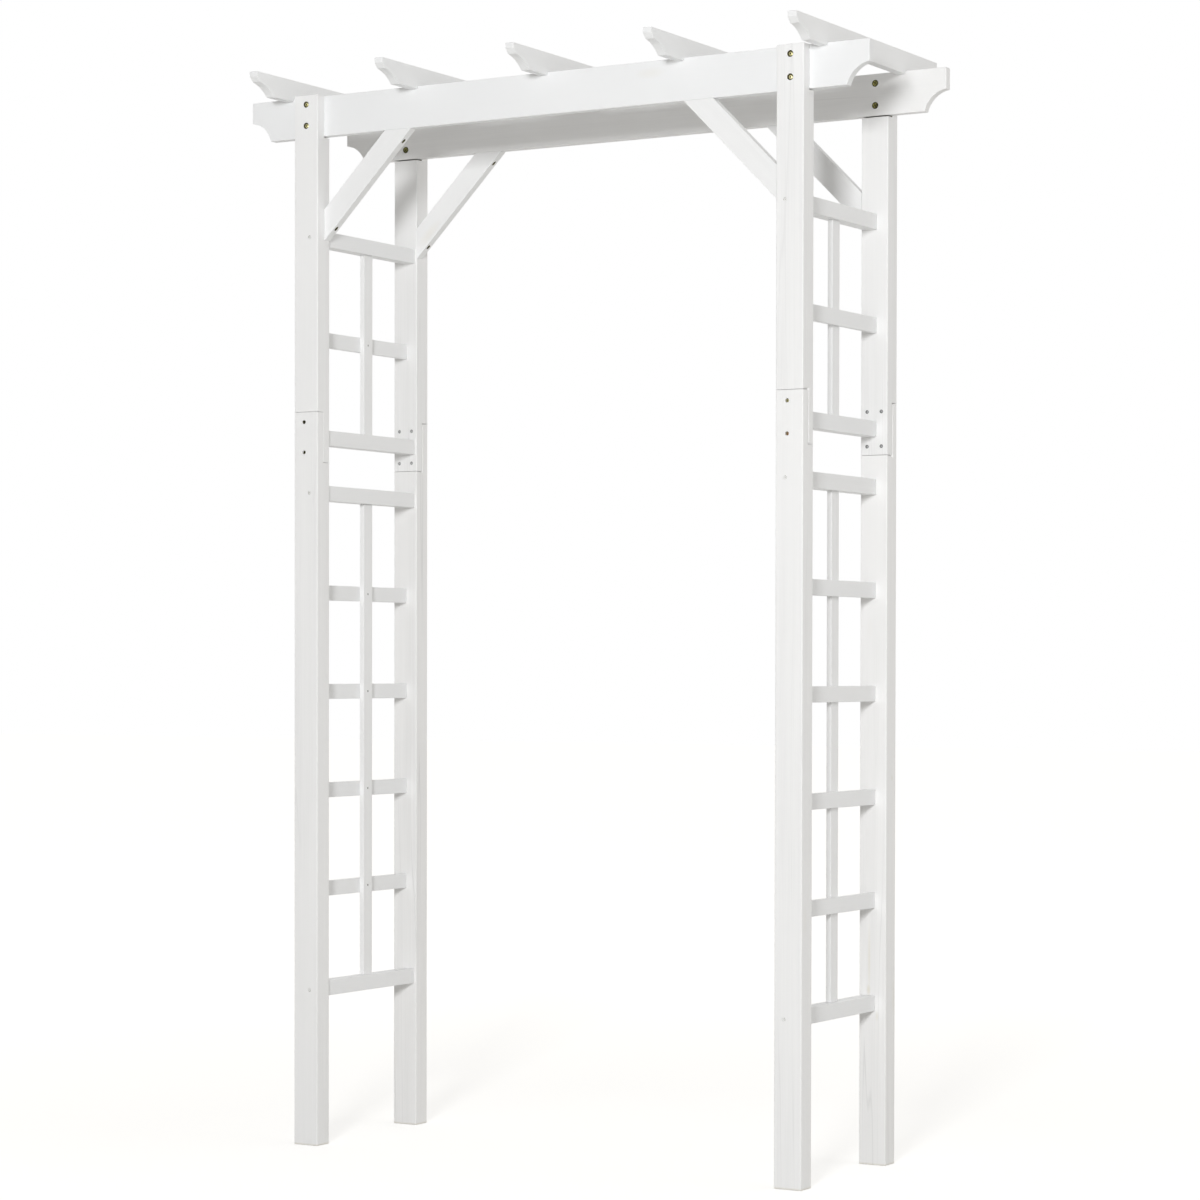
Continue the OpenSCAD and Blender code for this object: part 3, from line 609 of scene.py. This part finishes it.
# ---- Rafters ----
# Five boards, 43 by 18 mm, laid across the beams and notched 6 mm over them. Each end is cut to a
# short tip, a slope and a long shallow cove. One screw goes down into each beam.
RAFTER_H, RAFTER_T, RAFTER_OVER, NOTCH = 43 * MM, 18 * MM, 100 * MM, 6 * MM
TIP, SLOPE, RAFTER_COVE_L, RAFTER_COVE_R = 10 * MM, 10 * MM, 46 * MM, 80 * MM
RAFTERS, LAST_RAFTER_OUT, RAFTER_COAT = 5, 27 * MM, 0.8
RAFTER_RECESS = (3.6 * MM, 1.2 * MM, 0.3 * MM, 1.0)
rafter_end = FRAME_D / 2 + RAFTER_OVER
rafter_low = HEADROOM + BEAM_H - NOTCH
beam_outer = FRAME_D / 2 - TONGUE
slope_end = (rafter_end - SLOPE, RAFTER_H - TIP - SLOPE)
rafter_half = [(beam_outer - BEAM_T, 0), (beam_outer - BEAM_T, NOTCH),
               (beam_outer, NOTCH), (beam_outer, 0),
               *cove((slope_end[0] - RAFTER_COVE_L, 0), slope_end, RAFTER_COVE_R),
               (rafter_end, RAFTER_H - TIP), (rafter_end, RAFTER_H)]
rafter_side = both_ends(rafter_half, BOARD_ARRIS)
rafter_x = np.linspace(-1, 1, RAFTERS) * (FRAME_W / 2 + LAST_RAFTER_OUT)
rafter_screw_y = (-(beam_outer - BEAM_T / 2), beam_outer - BEAM_T / 2)
for number, x in enumerate(rafter_x, 1):
    recesses = [drilled((y, RAFTER_H, RAFTER_T / 2), (0, -1, 0), *RAFTER_RECESS)
                for y in rafter_screw_y]
    timber(f"painted_rafter_{number}", f"rafter_{number}", rafter_side, RAFTER_T,
           (x - RAFTER_T / 2, 0, rafter_low), [(0, 1, 0), (0, 0, 1), (1, 0, 0)],
           grain=(1, 0, 0), coat=RAFTER_COAT, holes=recesses)


# ---- Braces ----
# Four short boards, 44 by 18 mm, set at 45 degrees between each post and its beam and cut square
# to both. A screw near each end sits deep in a hole that slants out through the lower edge.
BRACE_LEG, BRACE_W, BRACE_T = 206 * MM, 44 * MM, 18 * MM
BRACE_ARRIS, BRACE_COAT = 0.6 * MM, 0.6
BRACE_SCREW_EDGE, BRACE_SEAT, BRACE_HOLE_R, BRACE_LIP = 23 * MM, 14 * MM, 3.7 * MM, 0.2 * MM
SLANTED = 1.4


def slanting_hole(centre, axis, seat):
    """A straight hole that leaves a face set at 45 degrees to it. Each ring lies in a plane that
    turns from the face's at the rim to square across at the seat: point = centre + radius times
    (cos a, sin a) across the hole, moved along it until it meets that plane. A depth below the
    face is SLANTED times as long along the hole."""
    axis = np.array(axis, float)
    other = np.array([axis[1], axis[0], 0.0])
    angle = np.linspace(0, 2 * np.pi, HOLE_SIDES, endpoint=False)
    angle = angle if axis[1] > 0 else -angle
    rings = []
    for radius, depth in ((BRACE_HOLE_R + BRACE_LIP, 0.0),
                          (BRACE_HOLE_R + BRACE_LIP / 3, BRACE_LIP / 3), (BRACE_HOLE_R, BRACE_LIP)):
        side = radius * np.cos(angle)
        rings.append(np.array(centre) + np.outer(side, other)
                     + np.outer(depth * SLANTED + side, axis)
                     + np.outer(radius * np.sin(angle), (0, 0, 1)))
    rings.append(np.array(centre) + BRACE_HOLE_R * np.outer(np.cos(angle), other) + axis * seat
                 + BRACE_HOLE_R * np.outer(np.sin(angle), (0, 0, 1)))
    # Its whole wall and floor are the dark bored wood, painted shade deep in the hole.
    return rings, np.array(centre) + axis * seat, np.ones(HOLE_SIDES, int)


brace_cut = BRACE_W * np.sqrt(2)
brace_side = [(0, -BRACE_LEG, BRACE_ARRIS), (BRACE_LEG, 0, BRACE_ARRIS),
              (BRACE_LEG - brace_cut, 0, BRACE_ARRIS), (0, brace_cut - BRACE_LEG, BRACE_ARRIS)]
brace_top = (BRACE_LEG - BRACE_SCREW_EDGE, -BRACE_SCREW_EDGE, BRACE_T / 2)
brace_foot = (BRACE_SCREW_EDGE, BRACE_SCREW_EDGE - BRACE_LEG, BRACE_T / 2)
for corner, sx, sy in post_corners:
    recesses = [slanting_hole(brace_top, (0, 1, 0), BRACE_SCREW_EDGE - BRACE_SEAT),
                slanting_hole(brace_foot, (-1, 0, 0), BRACE_SCREW_EDGE - BRACE_SEAT)]
    timber(f"painted_brace_{corner}", f"brace_{corner}", brace_side, BRACE_T,
           (sx * (FRAME_W / 2 - POST_W), sy * (FRAME_D / 2 - TONGUE), HEADROOM),
           [(-sx, 0, 0), (0, 0, 1), (0, -sy, 0)], grain=(1, 1, 0), coat=BRACE_COAT, holes=recesses)


# ---- Side panels ----
# On each side two thick rails close a panel at its ends, thin rails divide it, and one upright slat
# is nailed over the thin ones. Rails and slats are planed square with barely broken arrises.
RAIL_H, END_RAIL_T, MID_RAIL_T, SLAT_W, SLAT_T = 30 * MM, 28 * MM, 9 * MM, 30 * MM, 10 * MM
PANEL_TOP, RAIL_PITCH, PANEL_GAP, RAIL_IN = HEADROOM - 186 * MM, 197 * MM, 80 * MM, 5 * MM
PANEL_L, PANEL_ARRIS, RAIL_COAT, SLAT_COAT = FRAME_D - 2 * POST_D, 0.9 * MM, 0.75, 0.5
UPPER_BAYS, LOWER_BAYS = 2, 5
NAIL_MARK = (2.3 * MM, 0.8 * MM, 0.3 * MM, 0.0)
# The thick rails are cut a little short. On the left they stand closer to the rear posts.
END_GAP, END_SHIFT = {-1: 1.4 * MM, 1: 1 * MM}, {-1: 0.6 * MM, 1: 0.0}


def panel_heights(top, bays):
    """The heights of a panel's rails, top edges all: the top rail, the middle ones, the bottom."""
    return top, [top - i * RAIL_PITCH for i in range(1, bays)], top - bays * RAIL_PITCH


panels = {"upper": panel_heights(PANEL_TOP, UPPER_BAYS)}
upper_low = panels["upper"][2]
panels["lower"] = panel_heights(upper_low - RAIL_H - PANEL_GAP, LOWER_BAYS)
rail_outer = FRAME_W / 2 - POST_W + RAIL_IN + END_RAIL_T
slat_face = rail_outer - MID_RAIL_T - SLAT_T


def board_side(length, height):
    """The outline of a plain board, centred on its length and standing on its lower edge."""
    half = length / 2
    return [(-half, 0, PANEL_ARRIS), (half, 0, PANEL_ARRIS), (half, height, PANEL_ARRIS),
            (-half, height, PANEL_ARRIS)]


for side, sx in (("left", -1), ("right", 1)):
    panel_axes = [(0, 1, 0), (0, 0, 1), (-sx, 0, 0)]
    for panel, (top, mids, low) in panels.items():
        for end, height in (("top", top), ("bottom", low)):
            timber(f"painted_{panel}_{end}_rail_{side}", f"{panel}_{end}_rail_{side}",
                   board_side(PANEL_L - END_GAP[sx], RAIL_H), END_RAIL_T,
                   (sx * rail_outer, END_SHIFT[sx], height - RAIL_H), panel_axes,
                   grain=(1, 0, 0), coat=RAIL_COAT)
        for number, height in enumerate(mids, 1):
            own_number = f"_{number}" if len(mids) > 1 else ""
            middle = f"{panel}_mid_rail{own_number}_{side}"
            timber(f"painted_{middle}", middle, board_side(PANEL_L, RAIL_H), MID_RAIL_T,
                   (sx * rail_outer, 0, height - RAIL_H), panel_axes,
                   grain=(1, 0, 0), coat=RAIL_COAT)
        marks = [drilled((0, height - RAIL_H / 2 - low, SLAT_T), (0, 0, -1), *NAIL_MARK)
                 for height in mids]
        timber(f"painted_{panel}_slat_{side}", f"{panel}_slat_{side}",
               board_side(SLAT_W, top - RAIL_H - low), SLAT_T,
               (sx * (slat_face + SLAT_T), 0, low), panel_axes,
               grain=(0, 1, 0), coat=SLAT_COAT, holes=marks)


# ---- Zinc and painted steel ----
# Bolts, nuts and outer screws are yellow zinc, which runs from dark olive over brass to copper. The
# other screws are plain grey zinc. Rail screws and nails were painted over with the wood.
DRIFT_SCALE, DRIFT, FINE_SCALE, FINE = 140.0, 0.15, 900.0, (0.8, 1.25)


def plated(name, colours, roughness, metallic=1.0):
    """A head whose colour drifts along the given ones, and starts from its mesh's tone, which holds
    its painted shade and highlights.
    """
    material, tree, shader = new_material(name)
    place = tree.nodes.new("ShaderNodeTexCoord").outputs["Object"]
    drift = noise_node(tree, place, EVENLY, DRIFT_SCALE, 2.0)
    amount = join(tree, "ADD", spread(tree, drift, MOST_NOISE, (-DRIFT, DRIFT)),
                  carried(tree, "tone", "Fac"))
    ramp = tree.nodes.new("ShaderNodeValToRGB")
    ramp.color_ramp.elements[0].color = (*colours[0], 1.0)
    ramp.color_ramp.elements[1].color = (*colours[-1], 1.0)
    for number, colour in enumerate(colours[1:-1], 1):
        ramp.color_ramp.elements.new(number / (len(colours) - 1)).color = (*colour, 1.0)
    feed(tree, ramp.inputs["Fac"], amount)
    feed(tree, shader.inputs["Base Color"], ramp.outputs["Color"])
    shader.inputs["Metallic"].default_value = metallic
    fine = noise_node(tree, place, EVENLY, FINE_SCALE, 2.0)
    feed(tree, shader.inputs["Roughness"],
         spread(tree, fine, MOST_NOISE, (roughness * FINE[0], roughness * FINE[1])))
    return material


# The darkest colours of a ramp are reached where a head's tone holds painted shade.
yellow_zinc = plated("yellow_zinc", [(0.02, 0.02, 0.01), (0.10, 0.095, 0.035), (0.27, 0.25, 0.09),
                                     (0.62, 0.58, 0.33), (0.34, 0.19, 0.12)], roughness=0.26)
grey_zinc = plated("grey_zinc", [(0.04, 0.04, 0.04), (0.28, 0.285, 0.285),
                                 (0.55, 0.56, 0.56)], roughness=0.36)
painted_head = plated("painted_head", [(0.74, 0.74, 0.73), (0.85, 0.85, 0.845)],
                      roughness=0.5, metallic=0.0)
worn_paint = plated("worn_paint", [(0.20, 0.20, 0.185), (0.52, 0.52, 0.50)],
                    roughness=0.55, metallic=0.0)


# ---- Fasteners ----
# Every bolt, nut, screw and nail is turned about its own axis, from its tip to the bottom of its
# drive. Heads sit in the recesses drilled above, and each is turned in at an angle of its own.
# Their tones paint shade at the rims of heads and down in their drives and slots.
CROSS_END, SLOT_END, HEX_FLAT = (1.9 * MM, 0.45 * MM), (4.5 * MM, 0.75 * MM), 1.3 * MM
# The first two of these are tones of painted shade: lighter at the rims of heads, deeper in drives,
# slots and under flanges and nail heads.
LIGHT_PAINTED_SHADE, DEEP_PAINTED_SHADE, SOME_TONE, EVEN_SPOKES, HEAD_CREASE = -0.3, -0.5, (0.4, 0.6), 48, 32
wear = np.random.default_rng(11)
# The angles at which a turned piece has points: even ones, and the corners of the drives' arms
drive_corners = [q * np.pi / 2 + s * np.arctan2(half, reach) for q in range(4) for s in (-1, 1)
                 for reach, half in (CROSS_END, SLOT_END)]
spokes = np.concatenate([np.arange(EVEN_SPOKES) * 2 * np.pi / EVEN_SPOKES, drive_corners])
spokes = np.unique(np.round(np.mod(spokes, 2 * np.pi), 6))


def cross_drive(reach, half):
    """Radius of a plus sign's outline: the nearer of an arm's end and an arm's side."""
    folded = np.abs(np.mod(spokes + np.pi / 4, np.pi / 2) - np.pi / 4)
    return np.minimum(reach / np.cos(folded), half / np.maximum(np.sin(folded), 1e-6))


def hex_drive(flat):
    """Radius of a hexagon's outline: its half width over the cosine from the nearest side."""
    return flat / np.cos(np.mod(spokes + np.pi / 6, np.pi / 3) - np.pi / 6)


def turned(name, node, material, rings, places, sunk=0.0):
    """Copies of one turned piece. A ring is (radius, height, tone), where the radius is a number or
    one value for each angle: point = place + height along the axis + radius times (cos a, sin a)
    across it. Tone darkens or lightens the metal there, mostly as painted shade at rims and in
    drives and a painted highlight on a dome's crown. A fan closes the first and the last ring, and
    each place is (point, outward axis, spin, tone)."""
    count = len(spokes)
    radii = np.array([np.broadcast_to(radius, count) for radius, _, _ in rings])
    heights, shades = np.array([ring[1:] for ring in rings]).T
    ids = np.arange(len(rings) * count).reshape(len(rings), count)
    following = np.roll(ids, -1, axis=1)
    quads = grid_quads(ids).reshape(-1, 4)
    first, last = ids.size, ids.size + 1
    fans = np.concatenate([np.stack([np.full(count, first), following[0], ids[0]], axis=1),
                           np.stack([np.full(count, last), ids[-1], following[-1]], axis=1)])
    verts, faces, tones = [], [], []
    for number, (point, axis, spin, tone) in enumerate(places):
        axis = np.array(axis, float)
        base = np.array(point) - axis * sunk
        circle = circle_about(axis, spokes + spin)
        grid = base + heights[:, None, None] * axis + radii[..., None] * circle
        verts += [grid.reshape(-1, 3), base + np.outer(heights[[0, -1]], axis)]
        shift = number * (ids.size + 2)
        faces += (quads + shift).tolist() + (fans + shift).tolist()
        tones.append(np.append(np.repeat(shades, count), shades[[0, -1]]) + tone)
    mesh = bpy.data.meshes.new(name)
    mesh.from_pydata(np.concatenate(verts).tolist(), [], faces)
    own_tone = mesh.attributes.new("tone", "FLOAT", "POINT")
    own_tone.data.foreach_set("value", np.concatenate(tones).astype(np.float32))
    mesh.materials.append(material)
    finish_piece(name, mesh, node, HEAD_CREASE)


def fixed(point, axis, tone=None):
    """A place for a fastener, turned in at some angle and with a tone of its own."""
    return point, axis, wear.uniform(0, np.pi), wear.uniform(*SOME_TONE) if tone is None else tone


def corner_point(sx, sy, u, v, z):
    """A place in one corner: u in from the post's side face, v in from its outer front face."""
    return (sx * (FRAME_W / 2 - u), sy * (FRAME_D / 2 - v), z)


SCREW_HEAD_R, SCREW_HEAD_H, SCREW_R, HEAD_EDGE = 3.5 * MM, 3 * MM, 2 * MM, 0.15 * MM
SCREW_TIP_R, SCREW_TIP_L, BRIGHT_SHARE = 0.3 * MM, 4 * MM, 0.8
PAN_EDGE_W, PAN_EDGE_H, PAN_STEPS = 1.1 * MM, 1.4 * MM, 5
DRIVE_EDGE, DRIVE_DEPTH, DRIVE_TAPER = 0.05 * MM, 1.4 * MM, 0.55


def screw_tip(length):
    """A screw's blunt point, and where its shank has its full radius."""
    return [(SCREW_TIP_R, -length, 0), (SCREW_R, -length + SCREW_TIP_L, 0)]


def cross_recess(top):
    """A cross drive sunk from the given height to a narrower bottom, darkened inside as painted
    shade.
    """
    drive = cross_drive(*CROSS_END)
    return [(drive, top, 0), (drive, top - DRIVE_EDGE, DEEP_PAINTED_SHADE),
            (drive * DRIVE_TAPER, top - DRIVE_DEPTH, DEEP_PAINTED_SHADE)]


def flat_head(length):
    """A countersunk screw from its tip up to the bottom of its cross drive, with its top at 0. Its
    rim is darkened as painted shade.
    """
    return [*screw_tip(length), (SCREW_R, -SCREW_HEAD_H, 0),
            (SCREW_HEAD_R - HEAD_EDGE, -2 * HEAD_EDGE, LIGHT_PAINTED_SHADE), (SCREW_HEAD_R, -HEAD_EDGE, LIGHT_PAINTED_SHADE),
            (SCREW_HEAD_R - HEAD_EDGE, 0, LIGHT_PAINTED_SHADE), (SCREW_HEAD_R * BRIGHT_SHARE, 0, 0),
            *cross_recess(0)]


def pan_head(length):
    """A pan-headed screw, with the underside of its head at 0: its top edge is a quarter of an
    ellipse, head radius - width times (1 - cos t) and head height - depth times (1 - sin t).
    Painted shade darkens that edge towards the rim."""
    edge = [(SCREW_HEAD_R - PAN_EDGE_W * (1 - np.cos(t)),
             SCREW_HEAD_H - PAN_EDGE_H * (1 - np.sin(t)), LIGHT_PAINTED_SHADE * np.cos(t))
            for t in np.linspace(0, np.pi / 2, PAN_STEPS + 1)]
    return [*screw_tip(length), (SCREW_R, 0, LIGHT_PAINTED_SHADE), (SCREW_HEAD_R - HAIR, 0, LIGHT_PAINTED_SHADE),
            (SCREW_HEAD_R, HAIR, LIGHT_PAINTED_SHADE), *edge, *cross_recess(SCREW_HEAD_H)]


BOLT_R, BOLT_HEAD_R, BOLT_HEAD_H, BOLT_REACH = 3 * MM, 5.5 * MM, 4 * MM, 33 * MM
BOLT_TIP, SOCKET_TOP, SOCKET_DEPTH, SOCKET_SHARE = 0.5 * MM, 0.2 * MM, 1.8 * MM, 0.38
# The dome's crown is lightened as a painted highlight, and its rim is darkened as painted shade.
DOME_STEPS, DOME_PAINTED_HIGHLIGHT, RIM_PAINTED_SHADE, RIM_POWER = 11, 0.1, 0.6 * DEEP_PAINTED_SHADE, 8
# The bolts on the right get lighter metal, a painted highlight.
BOLT_TONE_AND_HIGHLIGHT, NUT_TONE = {-1: 0.55, 1: 0.62}, {-1: 0.25, 1: 0.35}
hex_socket = hex_drive(HEX_FLAT)
# A full dome: height = its top times the root of (1 - share cubed), where share is the radius over
# the head's. Its crown is lightened as a painted highlight, and painted shade darkens it towards
# its rim.
shares = np.sin(np.linspace(np.pi / 2, np.arcsin(SOCKET_SHARE), DOME_STEPS + 1))
dome = [(BOLT_HEAD_R * share, BOLT_HEAD_H * np.sqrt(1 - share ** 3),
         DOME_PAINTED_HIGHLIGHT + RIM_PAINTED_SHADE * share ** RIM_POWER) for share in shares]
turned("yellow_zinc_bolts", "beam_bolts", yellow_zinc,
       [(BOLT_R - BOLT_TIP, -BOLT_REACH, 0), (BOLT_R, -BOLT_REACH + BOLT_TIP, 0), (BOLT_R, 0, DEEP_PAINTED_SHADE),
        *dome, (hex_socket, BOLT_HEAD_H - SOCKET_TOP, 0),
        (hex_socket, BOLT_HEAD_H - SOCKET_DEPTH, LIGHT_PAINTED_SHADE)],
       [fixed(corner_point(sx, sy, POST_W / 2, BOLT_SUNK, z), (0, sy, 0), BOLT_TONE_AND_HIGHLIGHT[sx])
        for _, sx, sy in post_corners for z in bolt_z])

SLEEVE_R, SLEEVE_L, FLANGE_EDGE, FLANGE_RIM = 4.5 * MM, 15 * MM, 0.3 * MM, 1.2 * MM
nut_slot, nut_bore = cross_drive(*SLOT_END), BOLT_R + HAIR
turned("yellow_zinc_sleeve_nuts", "beam_sleeve_nuts", yellow_zinc,
       [(nut_bore, -SLEEVE_L + 2 * FLANGE_T, 0), (nut_bore, -SLEEVE_L, 0), (SLEEVE_R, -SLEEVE_L, 0),
        (SLEEVE_R, -FLANGE_T, 0), (FLANGE_R, -FLANGE_T, DEEP_PAINTED_SHADE), (FLANGE_R, -FLANGE_EDGE, DEEP_PAINTED_SHADE),
        (FLANGE_R - FLANGE_EDGE, 0, DEEP_PAINTED_SHADE), (FLANGE_R - FLANGE_RIM, 0, 0), (nut_slot, 0, 0),
        (nut_slot, -DRIVE_EDGE, LIGHT_PAINTED_SHADE), (nut_slot, -FLANGE_T / 2, LIGHT_PAINTED_SHADE)],
       [fixed(corner_point(sx, sy, POST_W / 2, POST_D, z), (0, -sy, 0), NUT_TONE[sx])
        for _, sx, sy in post_corners for z in bolt_z])

LAP_SCREW_L, INNER_SCREW_L, BRACE_SCREW_L = 28 * MM, 33 * MM, BRACE_SEAT + 15 * MM
RAFTER_SCREW_L, RAIL_SCREW_L, SUNK, RAIL_SUNK = 61 * MM, 77 * MM, 0.3 * MM, 0.35 * MM
# The brace screws are darkened as painted shade, deep in their slanting holes.
LAP_TONES, INNER_TONE, BRACE_SHADED_TONE = {-1: (0.2, 0.15), 1: (1.1, 0.65)}, {-1: 0.75, 1: 0.5}, 0.2
turned("yellow_zinc_lap_screws", "lap_screws_outer", yellow_zinc,
       pan_head(LAP_SCREW_L),
       [fixed(corner_point(sx, sy, POST_W / 2 + lap_shift * sx * -sy, LAP_SUNK, z), (0, sy, 0),
              tone) for _, sx, sy in post_corners for z, tone in zip(lap_screw_z, LAP_TONES[sx])])
turned("grey_zinc_lap_screws", "lap_screws_inner", grey_zinc, flat_head(INNER_SCREW_L),
       [fixed(corner_point(sx, sy, u, POST_D, z), (0, -sy, 0), INNER_TONE[sx])
        for _, sx, sy in post_corners for z in inner_screw_z for u in inner_screw_u], SUNK)

brace_v, brace_far, brace_places = TONGUE + BRACE_T / 2, BRACE_LEG - BRACE_SCREW_EDGE, []
for _, sx, sy in post_corners:
    by_beam = corner_point(sx, sy, POST_W + brace_far, brace_v, HEADROOM - BRACE_SEAT)
    by_post = corner_point(sx, sy, POST_W + BRACE_SEAT, brace_v, HEADROOM - brace_far)
    brace_places.append(fixed(by_beam, (0, 0, -1), BRACE_SHADED_TONE))
    brace_places.append(fixed(by_post, (-sx, 0, 0), BRACE_SHADED_TONE))
turned("grey_zinc_brace_screws", "brace_screws", grey_zinc, pan_head(BRACE_SCREW_L),
       brace_places)
turned("grey_zinc_rafter_screws", "rafter_screws", grey_zinc,
       flat_head(RAFTER_SCREW_L), [fixed((x, y, rafter_low + RAFTER_H), (0, 0, 1))
                                   for x in rafter_x for y in rafter_screw_y], SUNK)

rail_places = [(0, z) for heights in rail_screw_z.values() for z in heights]
rail_places.append((LAP_V, upper_low - RAIL_H / 2))
turned("painted_rail_screws", "rail_screws", painted_head, flat_head(RAIL_SCREW_L),
       [fixed(corner_point(sx, sy, rail_screw_u, v, z), (0, sy, 0))
        for _, sx, sy in post_corners for v, z in rail_places], RAIL_SUNK)

NAIL_R, NAIL_TIP_R, NAIL_L, NAIL_TIP_L = 1 * MM, 0.2 * MM, 16 * MM, 1.5 * MM
NAIL_HEAD_R, NAIL_HEAD_T, NAIL_EDGE, NAIL_DIMPLE_R = 2 * MM, 1 * MM, 0.2 * MM, 0.6 * MM
turned("painted_slat_nails", "slat_nails", worn_paint,
       [(NAIL_TIP_R, -NAIL_L, 0), (NAIL_R, -NAIL_L + NAIL_TIP_L, 0), (NAIL_R, -NAIL_HEAD_T, 0),
        (NAIL_HEAD_R, -NAIL_HEAD_T, DEEP_PAINTED_SHADE), (NAIL_HEAD_R, -NAIL_EDGE, DEEP_PAINTED_SHADE),
        (NAIL_HEAD_R - NAIL_EDGE, 0, LIGHT_PAINTED_SHADE), (NAIL_DIMPLE_R, 0, 0)],
       [fixed((sx * slat_face, 0, height - RAIL_H / 2), (-sx, 0, 0))
        for sx in (-1, 1) for _, mids, _ in panels.values() for height in mids], SUNK)
